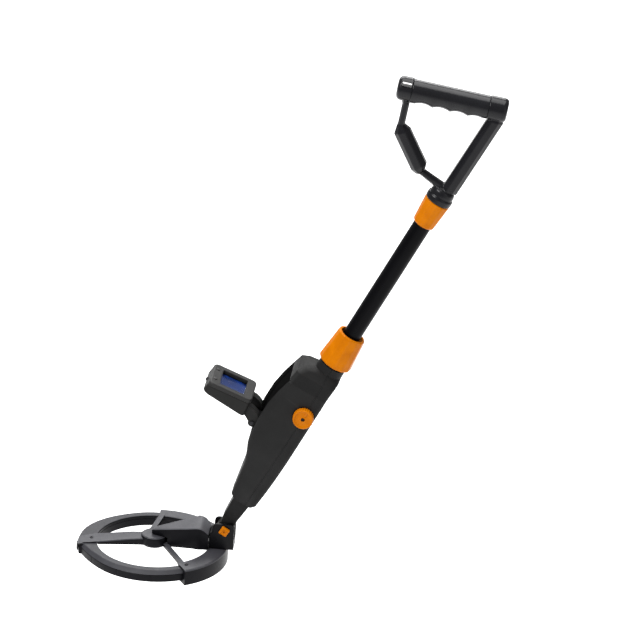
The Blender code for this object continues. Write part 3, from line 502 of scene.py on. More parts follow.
def several(name, meshes):
    """One object of several overlapping closed meshes."""
    bm = bmesh.new()
    for part in meshes:
        data = bpy.data.meshes.new("part")
        part.to_mesh(data)
        part.free()
        bm.from_mesh(data)
        bpy.data.meshes.remove(data)
    return shape_object(name, bm)


def shifted(bm, matrix):
    bmesh.ops.transform(bm, matrix=matrix, verts=bm.verts[:])
    return bm


def finished(obj, matrix, finish, body, nodes, smooth=35.0, second=None, chosen=None):
    """Give a piece its place, finish and body. Faces that chosen accepts take the second finish."""
    mesh = obj.data
    mesh.materials.clear()
    mesh.materials.append(finish)
    if second:
        mesh.materials.append(second)
        for face in mesh.polygons:
            face.material_index = 1 if chosen(face) else 0
    mesh.transform(matrix)
    mesh.shade_smooth()
    mesh.set_sharp_from_angle(angle=math.radians(smooth))
    even = obj.modifiers.new("even_shading", "WEIGHTED_NORMAL")
    even.keep_sharp = True
    even.weight = 100
    applied(obj)
    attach(obj, body)
    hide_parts(*nodes)


def at(s, n, y=0.0):
    """Stem-frame point from the distance along the tube, towards its front and sideways."""
    return (-n, y, s)


# ---------- handle

# Millimetres; LOOP runs along the bar: s, n, half its depth and half its width
CORE_R = 8.0
GRIP_R = 14.0
BLOCK_R = 15.0
FRONT_BLOCK = 19.5
REAR_BLOCK = 22.5
FINGER_PITCH = 21.8
FINGER_DEPTH = 2.7
SLOT_FALL = 0.24
SLEEVE_PLAY = 0.04
LOOP = (
    (544.0, -4.9, 9.8, 11.0), (600.0, -5.7, 9.8, 11.0), (652.0, -6.4, 9.8, 11.0),
    (664.6, -1.2, CORE_R, CORE_R), (661.5, 9.9, CORE_R, CORE_R), (630.7, 101.6, CORE_R, CORE_R),
    (628.2, 109.6, 4.5, 6.5), (613.7, 96.4, 4.4, 6.4), (588.0, 88.0, 4.4, 6.4),
    (585.6, 86.6, 6.0, 7.6), (580.5, 82.4, 10.1, 10.4), (551.5, 42.2, 10.1, 10.4), (548.0, 37.8, 7.0, 8.0),
    (547.2, 34.9, 4.2, 6.0), (543.0, 3.0, 5.4, 6.4),
)
OCTAGON = ((1, 0.42), (0.42, 1), (-0.42, 1), (-1, 0.42), (-1, -0.42), (-0.42, -1), (0.42, -1), (1, -0.42))


def loop_bar():
    """The bent bar of the handle: rear post, core of the grip, guard and lower strut."""
    centres = [Vector(at(s, n)) for s, n, _, _ in LOOP]
    rings = []
    for i, (_, _, half_depth, half_width) in enumerate(LOOP):
        before = centres[i] - centres[max(i - 1, 0)]
        after = centres[min(i + 1, len(centres) - 1)] - centres[i]
        before = before.normalized() if before.length else after.normalized()
        after = after.normalized() if after.length else before
        along = (before + after).normalized()
        mitre = 1.0 / max(along.dot(before), 0.75)
        across = Vector((-along.z, 0.0, along.x))
        side = Vector((0.0, 1.0, 0.0))
        rings.append([centres[i] + across * (a * half_depth * mitre) + side * (b * half_width)
                      for a, b in OCTAGON])
    return loft(rings)


def make_handle():
    grip_in_stem = moved(-GRIP_FRONT[1], 0.0, GRIP_FRONT[0]) @ turn_y(GRIP_TURN)
    hub = [(0.0, 524.8), (16.2, 524.8), (16.8, 525.4), (16.8, 531.4), (16.0, 532.8), (15.1, 533.5)]
    hub += [(15.1, 536.6), (14.3, 540.2), (12.7, 542.4), (9.0, 543.4), (0.0, 543.8)]
    front = [(0.0, 1.2), (8.8, 1.2), (12.4, 2.4), (14.3, 4.6), (BLOCK_R, 7.2), (BLOCK_R, FRONT_BLOCK)]
    front.append((0.0, FRONT_BLOCK))
    rear_low = GRIP_LENGTH - REAR_BLOCK
    rear = [(0.0, rear_low), (BLOCK_R, rear_low), (BLOCK_R, GRIP_LENGTH - 5.0), (14.7, GRIP_LENGTH - 3.4)]
    rear += [(13.4, GRIP_LENGTH - 1.2), (11.0, GRIP_LENGTH), (0.0, GRIP_LENGTH)]
    handle = several("handle", [
        loop_bar(), turned(hub, 96), shifted(turned(front, 96), grip_in_stem),
        shifted(turned(rear, 96), grip_in_stem),
    ])
    melted(handle, 0.62, 5)
    # The slot through the front block leans by SLOT_FALL and opens out on the near side
    slot = rounded_rectangle(6.4, 18.0, 2.6, 1.0, 4)
    rings = []
    for y, grow in ((-18.0, 0.9), (-11.6, 0.9), (-10.2, 0.0), (16.0, 0.0)):
        rings.append([(-9.5 + x + grow * (1 if x > 0 else -1) + SLOT_FALL * (y + 12.0), y,
                       z + grow * (1 if z > 12.0 else -1)) for z, x in slot])
    socket = disc(11.9, 510.0, 541.5, 64)
    combine(handle, [shifted(loft(rings), grip_in_stem), socket], "DIFFERENCE")
    finished(handle, STEM, HANDLE, "handle", ["handle_frame"], 40.0)


def grip_radius(distance, angle):
    """Four finger grooves with narrow crests between them are sunk into the +X side."""
    turns = (distance - FRONT_BLOCK - 6.0) / FINGER_PITCH
    inside = 0.0 <= turns <= 4.0
    wave = math.sin(math.pi * (turns % 1.0)) if inside else 0.0
    side = max(math.cos(angle), 0.0) ** 1.4
    bulge = (1.6 + 1.2 * distance / GRIP_LENGTH) * min(1.0, max(0.0, (114.15 - distance) / 6.0))
    return GRIP_R + (bulge - FINGER_DEPTH * wave ** 0.9) * side


def make_sleeve():
    low = FRONT_BLOCK + SLEEVE_PLAY
    high = GRIP_LENGTH - REAR_BLOCK - SLEEVE_PLAY
    rows = 150
    rings = []
    for k in range(rows + 1):
        distance = low + (high - low) * k / rows
        edge = max(0.0, 0.8 - min(distance - low, high - distance))
        rings.append(around(1.0, distance, 80,
                            lambda _, a, d=distance, e=edge: grip_radius(d, a) - e * e / 1.6))
    hole = CORE_R * 1.13 + 0.35
    rings += [around(hole, high, 80), around(hole, low, 80)]
    sleeve = shape_object("grip_sleeve", loft(rings, closed=True))
    finished(sleeve, GRIP, SLEEVE, "handle", ["hand_grip"])


# ---------- stem and collars

# name, from, to, radius at each end, bore at each end, step of the bore, body, node
COLLARS = (
    ("upper_twist_collar", 489.0, 524.4, 14.4, 16.8, 12.2, 14.2, 503.2, "upper_twist_ring", "upper_collar"),
    ("lower_twist_collar", 270.6, 315.0, 22.0, 18.4, 17.4, 14.7, 290.0, "lower_twist_ring", "lower_collar"),
)


def facets(count, softness):
    """A radius by angle that turns a circle into a polygon with softened corners."""
    step = 2.0 * math.pi / count

    def shape(radius, angle):
        off = (angle % step) - step / 2
        flat = radius * math.cos(step / 2) / math.cos(off)
        corner = (abs(off) / (step / 2)) ** 8
        return flat - softness * corner
    return shape


def make_collar(name, low, high, r_low, r_high, bore_low, bore_high, step, body, node):
    # A rounded lip at each end
    outer = []
    for share in (0.0, 0.12, 0.3, 0.55, 0.8, 1.0):
        angle = math.radians(90.0 * share)
        outer.append((r_low - 2.0 + 2.0 * math.sin(angle), low + 2.6 - 2.6 * math.cos(angle)))
    for share in (0.0, 0.25, 0.5, 0.75, 1.0):
        angle = math.radians(90.0 * share)
        outer.append((r_high - 1.6 + 1.6 * math.cos(angle), high - 1.8 + 1.8 * math.sin(angle)))
    segments = 144
    rings = [around(r, z, segments, facets(12, 0.18)) for r, z in outer]
    inner = [(bore_high, high), (bore_high, step), (bore_low, step), (bore_low, low)]
    rings += [around(r, z, segments) for r, z in inner]
    collar = shape_object(name, loft(rings, closed=True))
    finished(collar, STEM, ORANGE, body, [node], 22.0)


def make_tube():
    profile = [(10.2, 235.0), (11.1, 235.0), (11.4, 235.3), (11.4, 539.7), (11.1, 540.0), (10.2, 540.0)]
    tube = shape_object("tube", turned(profile, 96))
    finished(tube, STEM, TUBE, "stem", ["stem_tube"])


# ---------- housing

# Millimetres; s, front and back of the housing, half its width, radius of its corners
STATIONS = (
    (46.3, 17.0, -8.8, 13.0, 4.0), (52.0, 22.6, -12.3, 16.2, 4.5), (77.0, 26.8, -13.8, 20.5, 5.0),
    (97.0, 30.0, -14.3, 24.5, 5.0), (108.0, 32.6, -14.3, 27.0, 5.0), (121.0, 37.4, -14.3, 30.0, 5.5),
    (131.0, 41.7, -14.3, 32.5, 6.0), (147.0, 45.4, -14.3, 33.2, 6.0), (170.0, 47.6, -14.3, 33.2, 6.0),
    (193.0, 47.4, -14.3, 33.2, 6.0), (213.0, 44.4, -14.3, 33.2, 6.0), (231.0, 40.0, -14.3, 33.2, 6.0),
    (233.2, 39.6, -14.5, 31.7, 6.2), (247.0, 36.7, -16.0, 28.4, 7.0), (253.0, 31.7, -17.2, 22.5, 9.0),
    (257.5, 18.2, -17.2, 17.7, 16.2), (267.8, 17.2, -17.2, 17.2, 16.5),
)
WALL = 2.5
SEAM = 0.15
KNOB_S = 200.0
TRAY_FLOOR = 17.6
TRAY_ENDS = (147.4, 234.1)
TRAY_SHEET = 1.9
DOOR_HALF = 11.2
DOOR_GAP = 0.35
SHAFT_HOLE_R = 3.6
KNOB_SEAT_R = 14.2
KNOB_SEAT_Y = 32.1
OUTSIDE_Y = 41.0
BOLT_HOLE_R = 2.6
LEAD_HOLE_R = 3.0


def half_section(depth, half, radius):
    radius = min(radius, half - 0.2, depth - SEAM - 0.2)
    points = [(SEAM, -half)]
    points += arc((depth - radius, -half + radius), radius, -90, 0, 7)
    points += arc((depth - radius, half - radius), radius, 0, 90, 7)
    points.append((SEAM, half))
    return points


def casing_half(side):
    column = 1 if side > 0 else 2
    depths = [abs(station[column]) for station in STATIONS]
    rings = []
    for i, station in enumerate(STATIONS):
        before, after = max(i - 1, 0), min(i + 1, len(STATIONS) - 1)
        slope = math.atan2(depths[after] - depths[before], STATIONS[after][0] - STATIONS[before][0])
        thin = WALL * math.cos(slope)
        inner_s = station[0] + WALL * math.sin(slope)
        outer = half_section(depths[i], station[3], station[4])
        inner = half_section(depths[i] - thin, station[3] - thin, max(station[4] - thin, 1.0))
        rings.append([at(station[0], side * n, y) for n, y in outer]
                     + [at(inner_s, side * n, y) for n, y in reversed(inner)])
    return loft(rings)


def make_casing():
    knob_axis = moved(0.0, 0.0, KNOB_S) @ ROUND_Y
    for side, name, node in ((1, "casing_front", "front_shell"), (-1, "casing_back", "back_shell")):
        shell = shape_object(name, casing_half(side))
        cuts = [shifted(disc(SHAFT_HOLE_R, 25.0, OUTSIDE_Y), knob_axis),
                shifted(disc(KNOB_SEAT_R, KNOB_SEAT_Y, OUTSIDE_Y, 96), knob_axis)]
        if side > 0:
            recess = rounded_rectangle(147.0, 234.5, 30.2, 3.0, 6)
            mouth = [[(x, y, s) for s, y in recess] for x in (-60.0, -15.35)]
            half = DOOR_HALF + DOOR_GAP
            door = block((-3.0, 6.0), (-half, half), (-DOOR_GAP, DOOR_HIGH - DOOR_LOW + DOOR_GAP))
            door_in_stem = moved(-DOOR_N, 0.0, DOOR_LOW) @ turn_y(-DOOR_TILT)
            cuts = [loft(mouth), shifted(door, door_in_stem)] + cuts
        combine(shell, cuts, "DIFFERENCE")
        rounded(shell, 0.45, 24.0)
        finished(shell, STEM, HOUSING, "housing", [node], 28.0)


def make_door():
    length = DOOR_HIGH - DOOR_LOW
    plate = shape_object("battery_lid", loft([
        [(x, y, z) for z, y in rounded_rectangle(0.0, length, DOOR_HALF, 1.2, 5)] for x in (0.0, 2.2)]))
    ribs = []
    for k in range(4):
        low = 30.0 + 2.2 * k
        ribs.append(block((-1.0, 0.55), (-6.0, 6.0), (low, low + 1.1)))
    combine(plate, ribs, "DIFFERENCE")
    rounded(plate, 0.3, 30.0)
    finished(plate, DOOR, HOUSING, "door", ["battery_door"])


def make_tray():
    """Lining of the screen's recess with the lug of the hinge; its upper shoulder is paler, painted light on
    the face that the light falls on.
    """
    (low, high), sheet, floor = TRAY_ENDS, TRAY_SHEET, -TRAY_FLOOR
    outline = [(floor + sheet, low), (-44.4, low), (-44.6, low + sheet), (floor - 3.0, low + sheet)]
    outline += [(floor - 0.9, low + sheet + 0.9), (floor, low + sheet + 3.0), (floor, high - sheet - 3.0)]
    outline += [(floor - 0.9, high - sheet - 0.9), (floor - 3.0, high - sheet), (-38.8, high - sheet)]
    outline += [(-38.4, high), (floor + sheet, high)]
    tray = shape_object("recess_lining", prism_y(outline, 29.8))
    lug = [(floor + 1.0, HINGE_S - 5.5), (floor + 1.0, HINGE_S + 5.5)]
    lug += arc((-HINGE_N, HINGE_S), 5.5, 90, 270, 20)
    combine(tray, [prism_y(lug, 10.0)], "UNION")
    pin = shifted(disc(1.8, -15.0, 15.0, 32), moved(-HINGE_N, 0.0, HINGE_S) @ ROUND_Y)
    combine(tray, [pin], "DIFFERENCE")
    rounded(tray, 0.35, 30.0)
    # The upper end wall of the lining takes the paler finish: painted light
    finished(tray, STEM, RECESS, "housing", ["screen_tray"], 35.0, LIT_SHOULDER,
             lambda face: face.normal.z < -0.8 and face.center.z > 220.0)


def make_arm():
    """Arm from the pivot's eye to the tongue inside the tail."""
    angle = math.radians(STEM_ANGLE)
    dx, dz = PIVOT[0] - STEM_FOOT[0], PIVOT[1] - STEM_FOOT[1]
    eye_s = dx * math.cos(angle) + dz * math.sin(angle)
    eye_n = -dx * math.sin(angle) + dz * math.cos(angle)
    sections = ((4.0, -4.2, 12.8, 6.9), (11.0, -4.0, 14.2, 7.0), (18.0, -3.6, 15.6, 7.2),
                (26.0, -4.2, 16.1, 9.4), (45.9, -6.0, 17.0, 11.0))
    rings = [[at(s, n, y) for n, y in rounded_rectangle(back, front, half, 2.2, 5)]
             for s, back, front, half in sections]
    arm = shape_object("arm", loft(rings))
    eye_axis = moved(-eye_n, 0.0, eye_s) @ ROUND_Y
    tongue = block((-13.8, 5.0), (-8.0, 8.0), (44.0, 52.3))
    combine(arm, [shifted(disc(11.0, -7.0, 7.0, 72), eye_axis), tongue], "UNION")
    combine(arm, [shifted(disc(BOLT_HOLE_R, -20.0, 20.0, 40), eye_axis),
                  shifted(disc(LEAD_HOLE_R, 15.0, 60.0, 24), moved(-eye_n, 0.0, 0.0))], "DIFFERENCE")
    rounded(arm, 0.5, 26.0)
    # The arm takes the darker copy of the housing finish: painted shade
    finished(arm, STEM, ARM_SHADED, "housing", ["lower_stem"], 30.0)


def make_knob():
    """Fluted control knob with a dished face, a raised rim and a small moulded pointer."""
    flutes = 26

    def fluted(radius, angle):
        if radius < 12.2:
            return radius
        return radius - 0.55 * (0.5 - 0.5 * math.cos(flutes * angle)) ** 2.0

    profile = [(3.4, 32.5), (12.2, 32.5), (12.9, 32.9), (13.0, 33.4), (13.0, 39.6), (12.7, 40.5)]
    profile += [(12.25, 41.0), (11.6, 41.3), (11.0, 41.35), (10.4, 41.1), (9.8, 40.6), (8.6, 40.4)]
    profile += [(5.0, 40.5), (4.0, 40.9), (3.4, 41.1), (2.6, 41.1), (2.6, 38.0), (3.4, 38.0)]
    knob = shape_object("knob", turned(profile, flutes * 12, fluted))
    pointer = block((-0.6, 0.6), (5.6, 11.6), (40.2, 41.4))
    combine(knob, [pointer], "UNION")
    place = STEM @ moved(0.0, 0.0, KNOB_S) @ ROUND_Y
    finished(knob, place, ORANGE, "knob", ["control_knob"], 32.0)


# Screw heads: radius, where the head starts and its top
SHELL_SCREW = (2.6, 14.5, 15.3)
HINGE_SCREW = (2.7, 24.2, 25.8)
KNOB_SCREW = (2.2, 38.4, 40.6)
COVER_SCREW = (2.4, 0.0, 1.5)


def screw_head(name, size, matrix, body, node):
    """Pan-head screw with a cross recess."""
    radius, base, top = size
    rise = top - base
    dome = [(0.0, base), (radius, base), (radius, base + 0.45 * rise), (radius * 0.9, base + 0.78 * rise),
            (radius * 0.66, base + 0.95 * rise), (0.0, top)]
    head = shape_object(name, turned(dome, 40))
    arm_half = radius * 0.17
    reach = radius * 0.62
    depth = rise * 0.55
    cross = [block((-reach, reach), (-arm_half, arm_half), (top - depth, top + 1.0)),
             block((-arm_half, arm_half), (-reach, reach), (top - depth, top + 1.0))]
    combine(head, cross, "DIFFERENCE")
    finished(head, matrix, BLACK_STEEL, body, [node], 40.0)


def make_screws():
    shell_places = ((112.0, 15.0), (112.0, -15.0), (215.0, 20.0), (215.0, -20.0))
    for number, (s, y) in enumerate(shell_places, 1):
        place = STEM @ moved(0.0, y, s) @ turn_y(90.0) @ turn_z(23.0 * number)
        screw_head(f"casing_screw_{number}", SHELL_SCREW, place, "housing", f"shell_screw_{number}")
    hinge = STEM @ moved(-HINGE_N, 0.0, HINGE_S)
    screw_head("hinge_screw_head_near", HINGE_SCREW, hinge @ ROUND_Y, "housing", "hinge_screw_near")
    screw_head("hinge_screw_head_far", HINGE_SCREW, hinge @ ROUND_FAR_Y, "housing", "hinge_screw_far")
    knob = STEM @ moved(0.0, 0.0, KNOB_S) @ ROUND_Y
    screw_head("knob_screw_head", KNOB_SCREW, knob, "knob", "knob_screw")
    near = FLOOR @ moved(*polar(80.0, -52.0), 20.6)
    screw_head("cover_screw_near", COVER_SCREW, near, "coil", "frame_screw_near")
    tip = FLOOR @ moved(-78.0, -11.0, 20.0)
    screw_head("cover_screw_tip", COVER_SCREW, tip, "coil", "frame_screw_tip")


# ---------- screen

POD_NEAR = 12.5
POD_FAR = 72.8
POD_HALF = 29.6
POD_FACE = 29.5
POD_FACE_END = 69.0
POD_SPLIT = 24.0
BUTTON_P = 64.2
BUTTON_Y = 14.0
POWER_AT = (-72.0, 0.0, 17.9)
POWER_LEAN = -78.0


def pod_back_q(p):
    return 3.4 + 9.0 * (p - POD_NEAR) / (POD_FAR - POD_NEAR)


def pod_ring(inset, radius, far, height, on_back=False):
    """Outline of the screen at one height, or at that height over its sloping back."""
    outline = rounded_rectangle(POD_NEAR + inset, far - inset, POD_HALF - inset, radius, 9)
    return [(-p, y, height + (pod_back_q(p) if on_back else 0.0)) for p, y in outline]


def make_tub():
    split = POD_FAR - 1.8
    tub = shape_object("screen_back", loft([pod_ring(*row) for row in (
        (4.4, 4.0, POD_FAR - 1.4, 0.0, True), (2.6, 5.0, POD_FAR - 1.0, 0.3, True),
        (1.1, 5.9, POD_FAR - 0.4, 1.1, True), (0.25, 6.4, POD_FAR, 2.3, True), (0.0, 6.5, POD_FAR, 3.6, True),
        (0.0, 6.5, split, POD_SPLIT - 0.25), (0.25, 6.4, split, POD_SPLIT), (2.0, 4.5, split, POD_SPLIT),
        (2.5, 4.5, POD_FAR - 1.0, 3.9, True))]))
    leg = [(5.5, 3.0), (5.2, 8.0), (3.0, 12.4), (-1.5, 15.4), (-7.0, 17.4), (-POD_NEAR - 1.4, 18.4)]
    leg.append((-POD_NEAR - 1.4, 6.4))
    leg += arc((0.0, 0.0), 5.5, 180, 360, 24)
    combine(tub, [prism_y(leg, 6.6, side * 17.2) for side in (-1, 1)], "UNION")
    power_axis = moved(*POWER_AT) @ turn_y(POWER_LEAN)
    cuts = [shifted(disc(1.8, -30.0, 30.0, 32), ROUND_Y), shifted(disc(2.6, -5.0, 5.0, 40), power_axis)]
    combine(tub, cuts, "DIFFERENCE")
    rounded(tub, 0.4, 28.0)
    finished(tub, POD, POD_SIDE, "screen", ["pod_back"], 30.0)


def make_bezel():
    low, face, end = POD_SPLIT + 0.35, POD_FACE, POD_FACE_END
    bezel = shape_object("screen_bezel", loft([pod_ring(*row) for row in (
        (0.2, 6.4, POD_FAR - 1.9, low), (0.0, 6.5, POD_FAR - 1.95, low + 0.2),
        (0.0, 6.5, end + 1.5, face - 1.6), (0.15, 6.4, end + 1.2, face - 0.9),
        (0.5, 6.1, end + 0.9, face - 0.4), (1.1, 5.6, end + 0.7, face - 0.1), (1.7, 5.2, end + 0.6, face))]))
    mouth = [[(-p, y, q) for p, y in rounded_rectangle(24.0 - grow, 57.0 + grow, 20.0 + grow, 0.8 + grow, 4)]
             for grow, q in ((0.0, 10.0), (0.0, face - 0.8), (0.9, face + 0.1), (1.0, 40.0))]
    cuts = [loft(mouth)]
    for side in (-1, 1):
        cuts.append(shifted(disc(2.9, 10.0, 40.0, 48), moved(-BUTTON_P, side * BUTTON_Y, 0.0)))
    combine(bezel, cuts, "DIFFERENCE")
    rounded(bezel, 0.25, 28.0)
    finished(bezel, POD, POD_FACE_GREY, "screen", ["pod_bezel"], 30.0)


def make_keys():
    profile = [(0.0, 19.3), (2.7, 19.3), (2.7, 29.5), (2.5, 30.0), (1.9, 30.35), (1.0, 30.48), (0.0, 30.5)]
    for name, node, body, side in (("mode_key_cap", "mode_button", "mode_key", -1),
                                   ("select_key_cap", "select_button", "select_key", 1)):
        cap = shape_object(name, turned(profile, 40))
        finished(cap, POD @ moved(-BUTTON_P, side * BUTTON_Y, 0.0), KEY_GREY, body, [node], 50.0)
    profile = [(0.0, -3.4), (2.2, -3.4), (2.2, 1.2), (2.0, 1.8), (1.4, 2.15), (0.0, 2.2)]
    nub = shape_object("power_key_cap", turned(profile, 40))
    place = POD @ moved(*POWER_AT) @ turn_y(POWER_LEAN)
    finished(nub, place, RUBBER, "power_key", ["power_button"], 50.0)


# ---------- coil

RING_IN = 72.4
RING_OUT = 87.7
RING_TOP = 18.4
COVER_OUT = 94.0
COVER_IN = 70.6
COVER_TOP = 20.8
COVER_FROM = -58.0
COVER_TO = 92.5
FLARE_FROM = 116.0
FLARE_FULL = 182.0
FLARE_CLIP = 197.0
FLARE_TO = 226.0
FLARE_DEPTH = 7.9
FLARE_INNER = 80.5
COVER_TAPER = 4.0
COVER_SINK = 0.9
STRUT_HALF = 3.3
BOSS_AT = (84.0, 53.0)


def flare(radius, angle):
    """Outward swell of the ring at its front: slow on the far side, short on the near side of the clip."""
    degrees = math.degrees(angle) % 360.0
    if not FLARE_FROM < degrees < FLARE_TO or radius < FLARE_INNER:
        return 0.0
    rise = min(1.0, (degrees - FLARE_FROM) / (FLARE_FULL - FLARE_FROM))
    fall = min(1.0, max(0.0, (degrees - FLARE_CLIP) / (FLARE_TO - FLARE_CLIP)))
    swell = FLARE_DEPTH * rise * rise * (3.0 - 2.0 * rise) * (1.0 - fall) ** 2
    return swell * (0.62 if degrees > FLARE_CLIP else 1.0) * (1.35 if radius < 84.5 else 1.0)


def wall_joints(radius, angle):
    """Fine vertical joints in the ring's outer wall."""
    if radius < RING_OUT - 0.05:
        return radius + (flare(radius, angle) if radius > RING_OUT - 3.0 else 0.0)
    off = abs((math.degrees(angle) + 9.0) % 30.0 - 15.0)
    return radius + flare(radius, angle) - (0.45 if off < 0.75 else 0.0)


def make_ring():
    low, top = 4.2, 13.7
    base = [(RING_IN + 1.0, low), (RING_OUT - 1.0, low), (RING_OUT - 0.3, low + 0.3), (RING_OUT, low + 1.0)]
    base += [(RING_OUT, top - 0.3), (RING_OUT - 0.3, top), (RING_OUT - 2.5, top), (RING_OUT - 2.5, low + 2.2)]
    base += [(RING_IN + 2.5, low + 2.2), (RING_IN + 2.5, top), (RING_IN + 0.3, top), (RING_IN, top - 0.3)]
    base += [(RING_IN, low + 1.0), (RING_IN + 0.3, low + 0.3)]
    body = shape_object("ring_base", turned(base, 480, wall_joints))
    # The ring base, all wall, takes the darker side copy: painted shade
    finished(body, FLOOR, COIL_SHADED_SIDE, "coil", ["coil_base"], 40.0)
    lid = [(RING_IN + 0.3, 14.0), (RING_OUT - 0.3, 14.0), (RING_OUT, 14.25), (RING_OUT - 0.25, 14.6)]
    lid += [(83.3, 17.7), (82.7, 18.15), (81.9, 18.38), (81.0, RING_TOP), (74.6, RING_TOP), (73.6, 18.32)]
    lid += [(72.85, 18.0), (72.5, 17.5), (RING_IN, 16.8), (RING_IN, 14.3)]
    body = shape_object("ring_lid", turned(lid, 480, lambda radius, angle: radius + flare(radius, angle)))
    # The lid's inner wall and steep faces take the darker side copy: painted shade
    finished(body, FLOOR, COIL, "coil", ["coil_lid"], 40.0, COIL_SHADED_SIDE,
             lambda face: math.hypot(face.center.x, face.center.y) < RING_IN + 0.3 or face.normal.z < 0.3)


def strut(start, end, low, high):
    a, b = Vector((*start, 0.0)), Vector((*end, 0.0))
    along = (b - a).normalized()
    side = Vector((-along.y, along.x, 0.0)) * STRUT_HALF
    corners = [a + side, a - side, b - side, b + side]
    return loft([[c + Vector((0, 0, z)) for c in corners] for z in (low, high)])


def spar():
    """Bar from the hub to the front of the ring: near edge, far edge, underside and top by distance."""
    stations = ((6.0, -10.4, 10.4, 16.2, 26.6), (-16.0, -10.6, 10.2, 16.3, 25.6),
                (-30.0, -13.2, 9.8, 16.4, 24.6), (-69.5, -21.4, 3.6, 16.8, 21.0),
                (-71.8, -21.8, 3.0, 18.8, 20.8), (-82.0, -24.4, -1.0, 18.8, 20.2),
                (-94.3, -27.0, -9.0, 18.8, 19.7))
    rings = []
    for x, near, far, low, high in stations:
        edge = min(1.6, 0.4 * (high - low))
        section = [(near, low), (far, low), (far, high - edge), (far - 0.4 * edge, high - 0.3 * edge)]
        section += [(far - 1.5 * edge, high), (near + 1.5 * edge, high)]
        section += [(near + 0.4 * edge, high - 0.3 * edge), (near, high - edge)]
        rings.append([(x, y, z) for y, z in section])
    return loft(rings)


def tip_clip():
    """Short clip that hangs from the end of the spar over the ring's outer wall."""
    rings = []
    for degrees, inset in ((192.6, 0.5), (193.2, 0.0), (196.6, 0.0), (197.2, 0.5)):
        section = [(91.0, 18.8), (91.0, 19.6 - inset), (97.4 - inset, 19.6 - inset), (98.0 - inset, 18.8),
                   (98.0 - inset, 9.6 + inset), (96.2, 9.6 + inset), (96.2, 18.8)]
        rings.append([(*polar(r, degrees), z) for r, z in section])
    return loft(rings)


def make_top_frame():
    """Cover over the rear of the ring, hub, spar, struts and tip clip in one moulding."""
    under = RING_TOP + 0.35
    skirt = COVER_IN + 4.0
    cover = [(COVER_OUT, 0.0), (COVER_OUT, COVER_TOP - 2.2), (COVER_OUT - 0.7, COVER_TOP - 0.8),
             (COVER_OUT - 2.2, COVER_TOP), (COVER_IN + 0.8, COVER_TOP), (COVER_IN, COVER_TOP - 0.8),
             (COVER_IN, under), (RING_OUT + 0.4, under), (RING_OUT + 0.4, 2.6), (skirt, 2.6), (skirt, 0.0)]
    arch = part_turned(cover, 146, COVER_FROM, COVER_TO - COVER_FROM)
    # Towards its far end the cover grows narrower and lower
    for vert in arch.verts:
        radius = math.hypot(vert.co.x, vert.co.y)
        share = min(1.0, max(0.0, (math.degrees(math.atan2(vert.co.y, vert.co.x)) - 30.0) / 60.0))
        if radius > COVER_OUT - 3.0:
            vert.co.x *= 1.0 - COVER_TAPER * share / radius
            vert.co.y *= 1.0 - COVER_TAPER * share / radius
        if vert.co.z > under + 0.3:
            vert.co.z -= COVER_SINK * share
    top = shape_object("coil_frame", arch)
    near_end = polar(skirt, COVER_FROM + 4.6)
    far_end = polar(skirt, COVER_TO - 3.0)
    inside, outside, ceiling = RING_IN - 0.4, RING_OUT + 0.38, under - 0.02
    room = [(inside, 2.65), (outside, 2.65), (outside, ceiling), (inside, ceiling)]
    hub = [(0.0, 15.5), (15.0, 15.5), (16.5, 17.5), (16.5, 27.3), (16.2, 28.2), (15.4, 28.75), (14.0, 28.9)]
    hub.append((0.0, 28.9))
    struts = [strut((15.5, -8.0), near_end, 16.6, 20.2), strut((-9.5, 10.0), far_end, 16.5, 20.3)]
    combine(top, struts, "UNION")
    combine(top, [turned(room, 180)], "DIFFERENCE")
    bridge = block((10.0, 78.0), (-9.0, 9.0), (16.7, 20.4))
    combine(top, [turned(hub, 96), spar(), tip_clip(), bridge], "UNION")
    boss = rounded_rectangle(-3.4, 3.4, 5.0, 1.2, 4)
    boss = loft([[(x + BOSS_AT[0], y, z) for x, y in boss] for z in (19.0, 24.6)])
    combine(top, [shifted(boss, turn_z(BOSS_AT[1]))], "UNION")
    groove = [(15.2, 28.3), (15.2, 31.0), (14.6, 31.0), (14.6, 28.3)]
    combine(top, [turned(room, 180), turned(groove, 96)], "DIFFERENCE")
    rounded(top, 0.45, 28.0)
    # Steep and downward faces take the darker side copy: painted shade
    finished(top, FLOOR, COIL, "coil", ["coil_top_frame"], 32.0, COIL_SHADED_SIDE,
             lambda face: face.normal.z < 0.35)


def make_spine():
    """Wedge over the hub, from a point at the front to its full width at the yoke."""
    stations = ((-3.0, 2.2, 29.3, 34.8), (-1.5, 3.2, 29.3, 35.9), (2.0, 4.8, 29.3, 37.0),
                (8.0, 7.0, 29.3, 38.9), (17.6, 9.8, 29.3, 41.3), (17.9, 9.9, 21.3, 41.4),
                (28.0, 12.6, 21.3, 44.0), (40.0, 16.0, 21.3, 46.9), (50.0, 18.2, 21.3, 49.4),
                (56.0, 19.5, 21.3, 50.7), (58.5, 19.6, 21.3, 50.6), (61.0, 19.2, 21.3, 49.9),
                (64.0, 18.6, 21.3, 48.3), (70.0, 16.4, 21.3, 42.5))
    rings = []
    for x, half, low, high in stations:
        wall = min(2.0, half * 0.5)
        lip = min(2.2, half * 0.45)
        outer = [(-half, low), (-half, high - lip), (-half + lip * 0.15, high - lip * 0.55),
                 (-half + lip * 0.5, high - lip * 0.15), (-half + lip, high)]
        outer += [(-y, z) for y, z in reversed(outer)]
        inside, ceiling = half - wall, high - wall - 1.2
        inner = [(inside, low), (inside, ceiling), (-inside, ceiling), (-inside, low)]
        rings.append([(x, y, z) for y, z in outer + inner])
    spine = shape_object("spine_wedge", loft(rings))
    rounded(spine, 0.4, 40.0)
    # The wedge's steep and downward faces take the darker side copy: painted shade
    finished(spine, FLOOR, WEDGE, "coil", ["spine_cover"], 35.0, COIL_SHADED_SIDE,
             lambda face: face.normal.z < 0.35)


